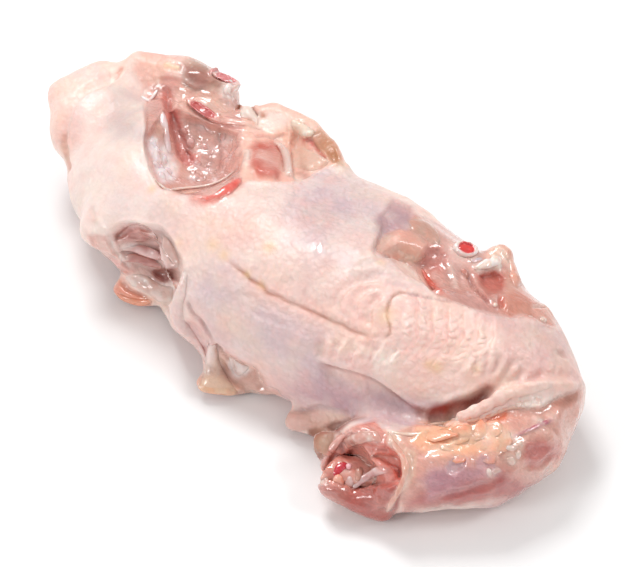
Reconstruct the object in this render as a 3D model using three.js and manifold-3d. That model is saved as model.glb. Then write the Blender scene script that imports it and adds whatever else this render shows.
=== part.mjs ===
// A raw turkey back with the neck still on. It lies on its ribs with the skin of the back up,
// and the neck is curled round in front of it. The thighs, wings and breast have been cut away.
// Millimetres, +Z up, +X along the spine towards the neck, -Y the side that the neck curls to.
import * as THREE from "three";
import { MarchingCubes } from "three/addons/objects/MarchingCubes.js";
import { mergeVertices } from "three/addons/utils/BufferGeometryUtils.js";
import Module from "manifold-3d";

const wasm = await Module();
wasm.setup();

// ---- driving dimensions
const CELL = 5.2; // grid spacing that the flesh is meshed at
const GRID_HALF = 168; // half the side of the cube that holds the grid
const MOST_FACES = 40000; // room that the grid keeps for triangles
const RELAX_ROUNDS = 5; // smoothing rounds that even out the flesh's triangles
const RELAX_SHARE = 0.6; // how far each round moves a vertex towards its neighbours' middle
const SLOPE_REACH = 0.2; // step over which a form's slope is measured
const LEAST_SLOPE = 0.5; // a slope is taken as no less, so that no vertex runs off
const SAME_POINT = 1e-3; // vertices nearer than this are one
const BACK_TOP = 71; // highest point of the back over the table
const CAVITY_TOP = 27; // ceiling of the body cavity, between the ribs
const RIB_RADIUS = 3.2;
const RIB_SPACING = 21;
const NECK_RADIUS = 19; // the neck with its meat, half way along
const NECK_FILLET = 12; // softness of the crease where the neck lies against the back
const NECK_BONE_RADIUS = 6.5;
const NECK_BONE_SIDES = 12;
const NECK_BONE_RIPPLE = 0.14; // height of its three lengthwise ridges, as a share of the radius
const NECK_BONE_STEPS = 20; // divisions along the neck
const NECK_BONE_ENDS = { x: 55, y: 16 }; // where it is cut across, and where it ends in the root
const BONE_SIDES = 14;
const MARROW_SHARE = 0.6; // width of the marrow in a sawn bone
const MARROW_DEPTH = 2;
const SEAT_GAP = 0.35; // clearance between a bone and the meat round it
const SEAT_RISE = 20; // how far a bone's seat runs on past the bone's end
const FLOOR_TRIM = 40; // depth of the block that trims the underside flat

const FAR = 1e3; // distance given where there is nothing yet
const at = (x, y, z) => new THREE.Vector3(x, y, z);
const GRID_CENTRE = at(-17, 0, 60);
const NECK_BONE_SHIFT = at(-1, -3, -4); // the vertebrae lie below the middle of the neck's meat
const SKIN = new THREE.MeshStandardMaterial({ color: 0xefd0c8, roughness: 0.45 });
const BONE = new THREE.MeshStandardMaterial({ color: 0xf1ddd2, roughness: 0.35 });
const SAWN_BONE = new THREE.MeshStandardMaterial({ color: 0xd9706c, roughness: 0.35 });

// ---- soft forms: each is a function of a point that gives its distance to the form's surface

// An egg-shaped mass, turned about the vertical.
function lobe(centre, radii, turnDegrees = 0) {
  const turn = THREE.MathUtils.degToRad(turnDegrees);
  const c = Math.cos(turn);
  const s = Math.sin(turn);
  return (p) => {
    const dx = p.x - centre.x;
    const dy = p.y - centre.y;
    const x = (dx * c + dy * s) / radii.x;
    const y = (-dx * s + dy * c) / radii.y;
    const z = (p.z - centre.z) / radii.z;
    const reach = Math.hypot(x, y, z);
    const slope = Math.hypot(x / radii.x, y / radii.y, z / radii.z);
    return slope > 1e-6 ? (reach * (reach - 1)) / slope : -Math.min(...radii.toArray());
  };
}

// A round limb through [point, radius] stations. Its thickness changes evenly between them.
function limb(...stations) {
  const along = at(0, 0, 0);
  const offset = at(0, 0, 0);
  return (p) => {
    let nearest = Infinity;
    for (let i = 1; i < stations.length; i++) {
      const [a, ra] = stations[i - 1];
      const [b, rb] = stations[i];
      along.subVectors(b, a);
      offset.subVectors(p, a);
      const t = THREE.MathUtils.clamp(offset.dot(along) / along.lengthSq(), 0, 1);
      const d = offset.addScaledVector(along, -t).length() - THREE.MathUtils.lerp(ra, rb, t);
      nearest = Math.min(nearest, d);
    }
    return nearest;
  };
}

// A thin flap with a round edge, stretched over three corners.
function sheet(a, b, c, thickness) {
  const face = new THREE.Triangle(a, b, c);
  const nearest = at(0, 0, 0);
  return (p) => face.closestPointToPoint(p, nearest).distanceTo(p) - thickness / 2;
}

// Joins two distances with a fillet about as wide as `soft`.
function join(a, b, soft) {
  const h = Math.max(soft - Math.abs(a - b), 0) / soft;
  return Math.min(a, b) - (h * h * soft) / 4;
}

// Takes the second distance's form out of the first one's.
const dig = (a, b, soft) => -join(-a, b, soft);

// ---- the back's masses under their skin, from the tail to the neck, each with how softly it joins
const MASSES = [
  [lobe(at(-89, 16.5, 31), at(56, 46.5, 31)), 1], // pelvis
  [lobe(at(-25, 1, 30), at(74, 51, BACK_TOP - 31)), 24], // loin
  [lobe(at(40, 4, 30), at(62, 47, BACK_TOP - 32)), 24], // shoulders
  [limb([at(-8, 30, 40), 23.5], [at(16, 31, 40), 24], [at(42, 28, 38), 18.5]), 12], // far side of the ribs
  [lobe(at(80, 12, 27), at(34, 30, 26)), 16], // neck root
  [lobe(at(-142, 25, 37), at(24, 27, 21), 10), 6], // tail lobe
  [limb([at(-163, 22, 45), 7], [at(-152, 41, 47), 9]), 6], // corner of the tail lobe
  [lobe(at(-98, 4, 36), at(24, 37, 28), 42), 8], // skin drawn over the tail end
  [limb([at(-138, 52, 52), 9], [at(-118, 59, 50), 12], [at(-98, 60, 48), 10.5]), 7], // far hip's rim
  [limb([at(-66, -8, 45), 15], [at(-20, -12, 46), 22], [at(40, -6, 44), 26]), 16], // along the spine
  [limb([at(-24, -30, 16), 16], [at(36, -24, 15), 20], [at(74, -18, 16), 16]), 6], // near flank
  [limb([at(46, -7, 41), 25], [at(84, 2, 37), 23]), 6], // loose skin between the shoulders
];

// ---- the neck, from its root to its cut end
const NECK_PATH = [
  at(90, 18, 31),
  at(108, 7, 27),
  at(113, -12, 22),
  at(106, -32, 21),
  at(88, -48, 20),
  at(67, -60, 20),
];
const NECK_SWELL = [4, 3, 2, 1, 0, 0]; // how much thicker it is at each of those points
const neck = limb(...NECK_PATH.map((p, i) => [p, NECK_RADIUS + NECK_SWELL[i]]));

// ---- what was cut away, each with how soft its edge is
const CUTS = [
  [lobe(at(-77, 17, 67), at(31, 22, 23), -55), 6], // far hip, where the thigh sat
  [lobe(at(-68, -40, 31), at(20, 19, 20)), 6], // near hip
  [limb([at(-58, 40, 72), 13], [at(-34, 38, 76), 12]), 6], // behind the far hip
  [lobe(at(64, 24, 77), at(38, 19, 21), 28), 6], // far shoulder, where the wing sat
  [lobe(at(66, -79, 27), at(25, 17, 16), -30), 4], // hollow in the neck's cut end
  [lobe(at(53, -82, 4), at(19, 15, 14)), 3], // under the neck's cut end
];

// ---- flaps and scraps that the knife left
const FLAPS = [
  // rim of skin that stands up behind the far hip
  [
    limb(
      [at(-80, 50, 50), 6],
      [at(-67, 61.5, 53.5), 6],
      [at(-46, 60, 56.5), 5.5],
      [at(-30, 52, 59), 5],
      [at(-18, 43, 60), 5],
    ),
    4,
  ],
  [sheet(at(-78, 50, 47), at(-46, 58, 53), at(-56, 44, 20), 9), 5], // what carries that rim
  [sheet(at(-46, 58, 53), at(-18, 42, 56), at(-34, 42, 20), 9), 5],
  [limb([at(-62, 30, 48), 9], [at(-47, 40, 49), 9]), 3], // muscle end inside that rim
  [limb([at(-36, 36, 52), 7], [at(-22, 36, 56), 6]), 3],
  [lobe(at(-99, -16, 21), at(12, 11, 17)), 4], // end of muscle at the near hip
  [sheet(at(-88, -30, 7), at(-75, -32, 5), at(-62, -12, 12), 8), 5], // scrap under it
  [sheet(at(-21, -58, 4), at(-30, -36, 20), at(0, -42, 5), 6.5), 4], // corner of the near flank's skin
  [sheet(at(-30, -36, 20), at(0, -42, 5), at(8, -34, 14), 6.5), 4],
  [limb([at(24, -50, 7), 5], [at(36, -45, 7), 6], [at(50, -38, 8), 6]), 4], // its rolled edge
  [sheet(at(39, -50, 4), at(46, -51, 4), at(50, -38, 8), 6), 3],
  [limb([at(52, 30, 52), 6], [at(66, 41, 46), 9], [at(84, 34, 38), 7]), 4], // shoulder joint
  [limb([at(66, 41, 46), 7], [at(64, 48, 52), 4.5]), 4], // gristle that stands up beside it
  [limb([at(46, -60, 20), 5], [at(58, -74, 14), 6], [at(80, -66, 5), 6]), 4], // neck's torn end
];

// ---- the body cavity on the underside, with its ribs and backbone in relief
const CAVITY_CENTRE = at(-12, 2, 0);
const CAVITY_RADII = at(88, 32, CAVITY_TOP);
const RIB_COUNT = 6;
const cavity = lobe(CAVITY_CENTRE, CAVITY_RADII);
const ribs = Array.from({ length: RIB_COUNT }, (_, i) => {
  const x = CAVITY_CENTRE.x + (i - (RIB_COUNT - 1) / 2) * RIB_SPACING;
  const narrowing = Math.sqrt(1 - ((x - CAVITY_CENTRE.x) / CAVITY_RADII.x) ** 2);
  const arch = [-75, -45, -15, 15, 45, 75].map((degrees) => {
    const turn = THREE.MathUtils.degToRad(degrees);
    const y = CAVITY_CENTRE.y + Math.sin(turn) * CAVITY_RADII.y * narrowing;
    return [at(x, y, Math.cos(turn) * CAVITY_RADII.z * narrowing), RIB_RADIUS];
  });
  return limb(...arch);
});
const backbone = limb([at(-84, 2, 20), 5], [at(-12, 2, CAVITY_TOP + 1), 7], [at(64, 2, 16), 5]);

function cavityAt(p) {
  let d = cavity(p);
  for (const rib of [backbone, ...ribs]) d = dig(d, rib(p), 3);
  return d;
}

// All of the flesh and skin as one form.
function flesh(p) {
  let d = FAR;
  for (const [mass, soft] of MASSES) d = join(d, mass(p), soft);
  d = join(d, neck(p), NECK_FILLET);
  for (const [cut, soft] of CUTS) d = dig(d, cut(p), soft);
  for (const [flap, soft] of FLAPS) d = join(d, flap(p), soft);
  return dig(d, cavityAt(p), 5);
}

// ---- from a form to a mesh

// Meshes a form on a cubic grid.
function meshed(form) {
  const resolution = Math.round((2 * GRID_HALF) / CELL);
  const grid = new MarchingCubes(resolution, undefined, false, false, MOST_FACES);
  grid.isolation = 0;
  const step = GRID_HALF / grid.halfsize;
  const p = at(0, 0, 0);
  let i = 0;
  for (let z = 0; z < resolution; z++) {
    for (let y = 0; y < resolution; y++) {
      for (let x = 0; x < resolution; x++) {
        p.set(x, y, z).subScalar(grid.halfsize).multiplyScalar(step).add(GRID_CENTRE);
        grid.field[i++] = -form(p);
      }
    }
  }
  grid.update();
  const used = grid.positionArray.slice(0, grid.count * 3);
  const geometry = new THREE.BufferGeometry();
  geometry.setAttribute("position", new THREE.BufferAttribute(used, 3));
  geometry.scale(GRID_HALF, GRID_HALF, GRID_HALF);
  geometry.translate(...GRID_CENTRE.toArray());
  return mergeVertices(geometry, SAME_POINT);
}

// Moves a point along the form's slope until it lies on the surface.
function settle(p, form) {
  const d = form(p);
  const probe = (dx, dy, dz) => form(at(p.x + dx, p.y + dy, p.z + dz)) - d;
  const slope = at(probe(SLOPE_REACH, 0, 0), probe(0, SLOPE_REACH, 0), probe(0, 0, SLOPE_REACH));
  slope.divideScalar(SLOPE_REACH);
  p.addScaledVector(slope, -d / Math.max(slope.lengthSq(), LEAST_SLOPE ** 2));
}

// Evens out the triangles: each vertex moves to the middle of its neighbours, then back onto the form.
function relaxed(geometry, form) {
  const position = geometry.getAttribute("position");
  const index = geometry.index.array;
  const sum = Array.from({ length: position.count }, () => at(0, 0, 0));
  const shares = new Uint16Array(position.count);
  const p = at(0, 0, 0);
  for (let round = 0; round < RELAX_ROUNDS; round++) {
    sum.forEach((v) => v.set(0, 0, 0));
    shares.fill(0);
    for (let i = 0; i < index.length; i += 3) {
      for (let k = 0; k < 3; k++) {
        const [a, b] = [index[i + k], index[i + ((k + 1) % 3)]];
        sum[a].add(p.fromBufferAttribute(position, b));
        shares[a]++;
      }
    }
    sum.forEach((v, i) => {
      p.fromBufferAttribute(position, i).lerp(v.divideScalar(shares[i]), RELAX_SHARE);
      settle(p, form);
      position.setXYZ(i, p.x, p.y, p.z);
    });
  }
  return geometry;
}

// A closed geometry as a solid that can be joined and cut.
function solid(geometry) {
  const bare = geometry.clone();
  bare.deleteAttribute("normal");
  bare.deleteAttribute("uv");
  const merged = mergeVertices(bare, SAME_POINT);
  return new wasm.Manifold(
    new wasm.Mesh({
      numProp: 3,
      vertProperties: merged.getAttribute("position").array,
      triVerts: new Uint32Array(merged.index.array),
    }),
  );
}

// A solid as a named mesh.
function piece(name, shape, material) {
  const { vertProperties, triVerts } = shape.getMesh();
  const geometry = new THREE.BufferGeometry();
  geometry.setAttribute("position", new THREE.BufferAttribute(vertProperties, 3));
  geometry.setIndex(new THREE.BufferAttribute(triVerts, 1));
  geometry.computeVertexNormals();
  const mesh = new THREE.Mesh(geometry, material);
  mesh.name = name;
  return mesh;
}

// ---- the bones that show where the meat was cut

// A column along the neck that runs out past the meat at the cut end. Its seat is `wider` all round.
function neckColumn(wider) {
  const route = NECK_PATH.map((p) => p.clone().add(NECK_BONE_SHIFT)).reverse();
  const outward = route[0].clone().sub(route[1]).normalize();
  route[0].addScaledVector(outward, SEAT_RISE);
  const section = new THREE.Shape();
  for (let i = 0; i < NECK_BONE_SIDES; i++) {
    const turn = (i / NECK_BONE_SIDES) * 2 * Math.PI;
    const reach = NECK_BONE_RADIUS * (1 + NECK_BONE_RIPPLE * Math.cos(3 * turn)) + wider;
    if (i) section.lineTo(reach * Math.cos(turn), reach * Math.sin(turn));
    else section.moveTo(reach, 0);
  }
  const extrudePath = new THREE.CatmullRomCurve3(route);
  const column = { steps: NECK_BONE_STEPS, bevelEnabled: false, extrudePath };
  return solid(new THREE.ExtrudeGeometry(section, column));
}

// The vertebrae: that column between the cut end and the neck's root.
function neckBone() {
  const { x, y } = NECK_BONE_ENDS;
  const span = new THREE.BoxGeometry(2 * GRID_HALF, 2 * GRID_HALF, 2 * GRID_HALF);
  span.translate(x + GRID_HALF, y - GRID_HALF, 0);
  return neckColumn(0).intersect(solid(span));
}

// A bone sawn across, with its marrow sunk below the rim. It stands on `foot`, points along `aim`
// and is longest along `side`. Its seat is `wider` all round, runs up past the bone and is plain.
function sawnBone({ foot, aim, side, length, radius, flatness }, wider = 0) {
  const profile = [
    [0, -wider],
    [radius + wider, -wider],
    [0.85 * radius + wider, 0.4 * length],
    [radius + wider, 0.9 * length],
  ];
  if (wider) {
    profile.push([radius + wider, length + SEAT_RISE], [0, length + SEAT_RISE]);
  } else {
    const marrow = MARROW_SHARE * radius;
    const floor = length - MARROW_DEPTH;
    profile.push([0.9 * radius, length], [marrow, length], [0.9 * marrow, floor], [0, floor]);
  }
  const outline = profile.map(([x, y]) => new THREE.Vector2(x, y));
  const bone = new THREE.LatheGeometry(outline, BONE_SIDES);
  bone.scale(1, 1, flatness);
  const up = aim.clone().normalize();
  const across = side.clone().cross(up).normalize();
  bone.applyMatrix4(new THREE.Matrix4().makeBasis(up.clone().cross(across), up, across));
  bone.translate(foot.x, foot.y, foot.z);
  return solid(bone);
}

const SAWN_BONES = {
  shoulder_bone: {
    foot: at(50, 34, 47),
    aim: at(0.3, 0.1, 0.95),
    side: at(0.8, 0.6, 0),
    length: 14,
    radius: 6,
    flatness: 0.8,
  },
  hip_bone: {
    foot: at(-95, 46, 42),
    aim: at(0.1, -0.25, 0.96),
    side: at(1, -0.15, 0),
    length: 16,
    radius: 9,
    flatness: 0.5,
  },
  pelvis_bone: {
    foot: at(-98, 62, 47),
    aim: at(0.15, 0.1, 0.98),
    side: at(1, 0.1, 0),
    length: 14,
    radius: 8,
    flatness: 0.5,
  },
};

// ---- the whole part
let meat = solid(relaxed(meshed(flesh), flesh));
const table = new THREE.BoxGeometry(4 * GRID_HALF, 4 * GRID_HALF, FLOOR_TRIM);
table.translate(0, 0, -FLOOR_TRIM / 2);
meat = meat.subtract(solid(table)).subtract(neckColumn(SEAT_GAP));
const pieces = [piece("neck_bone", neckBone(), BONE)];
for (const [name, bone] of Object.entries(SAWN_BONES)) {
  meat = meat.subtract(sawnBone(bone, SEAT_GAP));
  pieces.push(piece(name, sawnBone(bone), SAWN_BONE));
}
pieces.unshift(piece("back", meat, SKIN));

// The origin is on the table, under the middle of the part.
const group = new THREE.Group();
group.add(...pieces);
const box = new THREE.Box3().setFromObject(group, true);
const middle = box.getCenter(at(0, 0, 0));
group.position.set(-middle.x, -middle.y, -box.min.z);
export default group;
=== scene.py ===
"""A raw turkey back with its neck: skin, cut meat, fat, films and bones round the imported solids."""

import math

import bpy
import numpy as np
from mathutils import Matrix, Vector
from mathutils.bvhtree import BVHTree


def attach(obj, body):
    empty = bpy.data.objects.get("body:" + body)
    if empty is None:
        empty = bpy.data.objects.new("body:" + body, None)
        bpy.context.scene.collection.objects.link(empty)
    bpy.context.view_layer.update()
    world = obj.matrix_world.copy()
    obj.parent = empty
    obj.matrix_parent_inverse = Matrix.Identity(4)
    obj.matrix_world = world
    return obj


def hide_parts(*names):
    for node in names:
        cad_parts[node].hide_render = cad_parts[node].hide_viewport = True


bl_info = {
    "name": "Raw Turkey Back",
    "version": (1, 0, 0),
    "blender": (4, 5, 0),
    "location": "View3D > Sidebar > Turkey Back",
    "description": "Models a raw turkey back with its neck",
    "category": "Mesh",
}

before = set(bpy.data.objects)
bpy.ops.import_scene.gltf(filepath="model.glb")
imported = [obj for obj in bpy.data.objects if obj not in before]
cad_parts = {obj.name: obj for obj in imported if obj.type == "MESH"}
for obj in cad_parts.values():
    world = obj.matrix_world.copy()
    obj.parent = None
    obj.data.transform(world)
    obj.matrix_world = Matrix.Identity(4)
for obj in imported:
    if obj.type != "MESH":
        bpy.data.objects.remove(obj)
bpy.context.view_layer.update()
MM = 0.001

# ---- the photo's view, which places the strokes below. The part's origin is under the middle of its
# box; the view was measured from the mark on the spine, which lies this far from that origin.
SPINE_MARK = np.array([18.0, 4.16, 0.0])
PHOTO_SIZE = (633, 567)
VIEW_TURN = math.radians(35)
VIEW_TILT = math.radians(48)
VIEW_LENS = 116.0
SENSOR = 36.0
VIEW_DISTANCE = 900.0
CAVITY_MIDDLE = SPINE_MARK[0] - 12.0
RIB_SPACING = 21.0
VIEW_AIM = SPINE_MARK + np.array([0.0, 0.0, 35.0])
PIXELS_PER_SLOPE = VIEW_LENS / SENSOR * PHOTO_SIZE[0]
VIEW_BACK = np.array([
    math.sin(VIEW_TURN) * math.cos(VIEW_TILT),
    -math.cos(VIEW_TURN) * math.cos(VIEW_TILT),
    math.sin(VIEW_TILT),
])
VIEW_RIGHT = np.array([math.cos(VIEW_TURN), math.sin(VIEW_TURN), 0.0])
VIEW_UP = np.cross(VIEW_BACK, VIEW_RIGHT)
VIEW_EYE = VIEW_AIM + VIEW_DISTANCE * VIEW_BACK
MM_PER_PIXEL = VIEW_DISTANCE / PIXELS_PER_SLOPE


def project(points):
    """Pixels of the photo that points (mm) fall on."""
    p = points - VIEW_EYE
    depth = -(p @ VIEW_BACK)
    u = PHOTO_SIZE[0] / 2 + PIXELS_PER_SLOPE * (p @ VIEW_RIGHT) / depth
    v = PHOTO_SIZE[1] / 2 - PIXELS_PER_SLOPE * (p @ VIEW_UP) / depth
    return np.stack([u, v], 1)


def sight(u, v):
    """Direction from the eye through a pixel of the photo."""
    across = (u - PHOTO_SIZE[0] / 2) / PIXELS_PER_SLOPE
    down = (v - PHOTO_SIZE[1] / 2) / PIXELS_PER_SLOPE
    ray = VIEW_RIGHT * across - VIEW_UP * down - VIEW_BACK
    return ray / np.linalg.norm(ray)


def linear(hex_colour):
    """sRGB hex to linear RGB."""
    parts = np.array([int(hex_colour[i:i + 2], 16) for i in (1, 3, 5)]) / 255
    return np.where(parts <= 0.04045, parts / 12.92, ((parts + 0.055) / 1.055) ** 2.4)


def smooth_line(points, spacing):
    """A curve through points (Catmull-Rom), sampled about every `spacing`."""
    p = np.array(points, float)
    if len(p) < 2:
        return p
    ends = np.vstack([2 * p[0] - p[1], p, 2 * p[-1] - p[-2]])
    out = []
    for a, b, c, d in zip(ends, ends[1:], ends[2:], ends[3:]):
        steps = max(1, int(np.linalg.norm(c - b) / spacing))
        t = (np.arange(steps) / steps)[:, None]
        out.append(0.5 * (2 * b + (c - a) * t + (2 * a - 5 * b + 4 * c - d) * t**2
                          + (3 * b - a - 3 * c + d) * t**3))
    return np.vstack(out + [p[-1:]])


def even(points, count):
    """`count` points at even steps along a line."""
    points = np.asarray(points, float)
    gone = np.concatenate([[0], np.cumsum(np.linalg.norm(np.diff(points, axis=0), axis=1))])
    at = np.linspace(0, gone[-1], count)
    return np.stack([np.interp(at, gone, points[:, k]) for k in range(points.shape[1])], 1)


def blurred(rows, rounds):
    """Rows of points, evened out along their first axis with the ends kept."""
    for _ in range(rounds):
        rows[1:-1] = (rows[:-2] + 2 * rows[1:-1] + rows[2:]) / 4
    return rows


def unit(vectors):
    """Vectors in rows, each made 1 long."""
    return vectors / np.linalg.norm(vectors, axis=1)[:, None]


def fade(x):
    """0 at 0, 1 at 1, smooth between."""
    x = np.clip(x, 0, 1)
    return x * x * (3 - 2 * x)


def faded_ends(share, ends):
    """1 along a path, and down to 0 over a share of its length at either end."""
    return fade(np.minimum(share, 1 - share) / ends)


def inside(points, outline):
    """Distance in pixels into a closed outline; negative outside it."""
    a = np.array(outline, float)
    b = np.roll(a, -1, 0)
    best = np.full(len(points), np.inf)
    odd = np.zeros(len(points), bool)
    for (ax, ay), (bx, by) in zip(a, b):
        ex, ey = bx - ax, by - ay
        px, py = points[:, 0] - ax, points[:, 1] - ay
        t = np.clip((px * ex + py * ey) / (ex * ex + ey * ey + 1e-9), 0, 1)
        best = np.minimum(best, np.hypot(px - t * ex, py - t * ey))
        crosses = (ay > points[:, 1]) != (by > points[:, 1])
        at = ax + ex * (points[:, 1] - ay) / (ey if abs(ey) > 1e-9 else 1e-9)
        odd ^= crosses & (points[:, 0] < at)
    return np.where(odd, best, -best)


def grain(points, size, seed):
    """Smooth noise from -1 to 1 with lumps about `size` mm across."""
    p = points / size + seed * 17.31
    cell = np.floor(p).astype(np.int64)
    f = p - cell
    f = f * f * (3 - 2 * f)
    total = np.zeros(len(points))
    for corner in range(8):
        bit = np.array([(corner >> k) & 1 for k in range(3)])
        c = (cell + bit).astype(np.uint64)
        h = c[:, 0] * np.uint64(73856093) ^ c[:, 1] * np.uint64(19349663) ^ c[:, 2] * np.uint64(83492791)
        h = (h ^ (h >> np.uint64(13))) * np.uint64(1274126177)
        value = ((h >> np.uint64(16)) & np.uint64(0xFFFF)).astype(float) / 32767.5 - 1
        total += value * np.prod(np.where(bit, f, 1 - f), 1)
    return total


def points_of(mesh):
    """A mesh's points in mm."""
    co = np.empty(len(mesh.vertices) * 3)
    mesh.vertices.foreach_get("co", co)
    return co.reshape(-1, 3) / MM


def put_points(mesh, points):
    """Moves a mesh's points to places in mm."""
    mesh.vertices.foreach_set("co", (points * MM).ravel())


PATH_STEP = 1.6  # pixels between the samples of a path
GRAZING = 0.12  # share of facing the eye below which the surface counts as turned away
SIGHT_START = 0.25  # mm off the surface where a line of sight starts, so that it clears its own face
BACK_SIDE = -0.2  # facing below which the surface is the other side of a fold
NEAR_BATCH = 3000  # vertices measured against a path at a time
EDGE_WAVER = 0.5  # share of an edge's softness that it wanders by
WAVER_LIMIT = 26  # pixels of softness that count for it


class Clay:
    """A mesh as arrays in mm, worked with brushes that are placed on it from the photo's view."""

    def __init__(self, obj):
        self.obj = obj
        mesh = obj.data
        self.co = points_of(mesh)
        self.faces = [tuple(p.vertices) for p in mesh.polygons]
        corners = np.empty(len(mesh.loops), np.int64)
        mesh.loops.foreach_get("vertex_index", corners)
        starts = np.empty(len(mesh.polygons), np.int64)
        mesh.polygons.foreach_get("loop_start", starts)
        totals = np.empty(len(mesh.polygons), np.int64)
        mesh.polygons.foreach_get("loop_total", totals)
        self.a, self.b, self.c = corners[starts], corners[starts + 1], corners[starts + 2]
        self.d = corners[starts + totals - 1]
        self.over = []
        self.settle()
        n = len(self.co)
        self.tint = np.tile(linear("#f3dcd4"), (n, 1))
        self.masks = {name: np.zeros(n) for name in ("meat", "wet", "pores", "beads", "column", "row")}

    def settle(self):
        """Takes stock of the shape: vertex normals, and what a line of sight hits."""
        co = self.co
        flat = np.cross(co[self.c] - co[self.a], co[self.d] - co[self.b])
        corners = np.concatenate([self.a, self.b, self.c, self.d])
        flat = np.tile(flat, (4, 1))
        self.normal = np.stack([np.bincount(corners, flat[:, k], len(co)) for k in range(3)], 1)
        self.normal /= np.linalg.norm(self.normal, axis=1)[:, None] + 1e-12
        self.tree = BVHTree.FromPolygons(co.tolist(), self.faces)
        self.pixel = project(co)

    def see(self):
        """Marks the vertices that the photo's view can see, softly at grazing angles."""
        to_eye = VIEW_EYE - self.co
        reach = np.linalg.norm(to_eye, axis=1)
        to_eye /= reach[:, None]
        facing = (self.normal * to_eye).sum(1)
        self.seen = np.zeros(len(self.co))
        for i in np.flatnonzero(facing > 0.02):
            start = self.co[i] + self.normal[i] * SIGHT_START + to_eye[i] * SIGHT_START
            if self.tree.ray_cast(Vector(start), Vector(to_eye[i]), reach[i])[0] is None:
                self.seen[i] = 1
        self.seen *= fade(facing / GRAZING)
        self.ripple = np.stack([0.7 * grain(self.co, 13, seed) + 0.4 * grain(self.co, 5, seed + 1)
                                for seed in (21, 23)], 1)

    def pick(self, u, v):
        """The point and the normal under a pixel, or those seen nearest to it."""
        hits = [tree.ray_cast(Vector(VIEW_EYE), Vector(sight(u, v))) for tree in (self.tree, *self.over)]
        hits = [hit for hit in hits if hit[0] is not None]
        if hits:
            hit, normal, _, _ = min(hits, key=lambda found: found[3])
            return np.array(hit), np.array(normal)
        away = np.linalg.norm(self.pixel - (u, v), axis=1) + 1e3 * (self.seen < 0.1)
        nearest = away.argmin()
        return self.co[nearest], self.normal[nearest]

    def line(self, pixels):
        """Points and normals along a pixel path, laid on the surface."""
        picked = [self.pick(u, v) for u, v in smooth_line(pixels, PATH_STEP)]
        points, normals = (np.array(rows) for rows in zip(*picked))
        return points, unit(blurred(normals, 3))

    def near(self, line, normals, reach):
        """Vertices within reach of a line: indices, distance, share along it, side (right is +)."""
        low, high = line.min(0) - reach, line.max(0) + reach
        ids = np.flatnonzero(((self.co > low) & (self.co < high)).all(1))
        if len(line) < 2:
            offset = self.co[ids] - line[0]
            d = np.linalg.norm(offset, axis=1)
            keep = (d < reach) & (self.normal[ids] @ normals[0] > BACK_SIDE)
            return ids[keep], d[keep], np.full(keep.sum(), 0.5), d[keep] * 0
        a, ab = line[:-1], line[1:] - line[:-1]
        length = (ab**2).sum(1) + 1e-9
        gone = np.concatenate([[0], np.cumsum(np.sqrt(length))])
        found = []
        for start in range(0, len(ids), NEAR_BATCH):
            part = ids[start:start + NEAR_BATCH]
            ap = self.co[part][:, None] - a[None]
            t = np.clip((ap * ab).sum(2) / length, 0, 1)
            d = np.linalg.norm(ap - t[..., None] * ab, axis=2)
            k = d.argmin(1)
            row = np.arange(len(part))
            right = np.cross(ab[k], normals[k])
            side = (ap[row, k] * right).sum(1)
            share = (gone[k] + t[row, k] * np.sqrt(length[k])) / gone[-1]
            keep = (d[row, k] < reach) & ((self.normal[part] * normals[k]).sum(1) > BACK_SIDE)
            found.append((part[keep], d[row, k][keep], share[keep], np.sign(side[keep])))
        return [np.concatenate(x) for x in zip(*found)]

    def groove(self, pixels, width, depth, lip=0.25, ends=0.18):
        """A furrow (or a ridge, with a negative depth) along a path."""
        line, normals = self.line(pixels)
        ids, d, share, _ = self.near(line, normals, 3.2 * width)
        env = faded_ends(share, ends)
        rise = lip * np.exp(-((d - 1.9 * width) / (0.8 * width)) ** 2) - np.exp(-((d / width) ** 2))
        self.co[ids] += self.normal[ids] * (depth * rise * env)[:, None]

    def ledge(self, pixels, drop, edge, reach, ends=0.15):
        """Sinks the right-hand side of a path, steep at the path and fading out over `reach`."""
        line, normals = self.line(pixels)
        ids, d, share, side = self.near(line, normals, reach)
        env = faded_ends(share, ends)
        signed = d * side
        shape = fade((signed + edge) / (2 * edge)) * fade((reach - signed) / (0.7 * reach))
        lip = 0.25 * np.exp(-(((signed + 1.4 * edge) / edge) ** 2))
        self.co[ids] -= self.normal[ids] * (drop * (shape - lip) * env)[:, None]

    def swell(self, pixel, radius, height, stretch=(1, 1), turn=0):
        """A soft bump (or a dent) at a pixel; stretched in the photo's plane and turned there."""
        hit = self.pick(*pixel)
        ids, _, _, _ = self.near(hit[0][None], hit[1][None], 2.6 * radius * max(stretch))
        offset = self.co[ids] - hit[0]
        c, s = math.cos(math.radians(turn)), math.sin(math.radians(turn))
        normal = hit[1]
        across = VIEW_RIGHT - normal * (VIEW_RIGHT @ normal)
        across /= np.linalg.norm(across)
        along = np.cross(normal, across)
        x, y = offset @ across, offset @ along
        x, y = (x * c + y * s) / stretch[0], (-x * s + y * c) / stretch[1]
        z = offset @ normal
        bump = height * np.exp(-(x * x + y * y + z * z * 0.5) / radius**2)
        self.co[ids] += self.normal[ids] * bump[:, None]

    def grab(self, pixel, target, radius, depth=0.0):
        """Pulls the surface at one pixel so that it shows at another; depth moves it off the eye."""
        start = self.pick(*pixel)
        move = (target[0] - pixel[0]) * VIEW_RIGHT - (target[1] - pixel[1]) * VIEW_UP
        move = move * MM_PER_PIXEL - VIEW_BACK * depth
        d = np.linalg.norm(self.co - start[0], axis=1)
        self.co += move * (fade(1 - d / radius)[:, None])

    def sink(self, outline, depth, soft):
        """Pushes what shows inside a pixel outline away from the eye."""
        amount = fade(self.depth_into(outline, soft) / soft) * self.seen
        self.co += unit(self.co - VIEW_EYE) * (depth * amount)[:, None]

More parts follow.
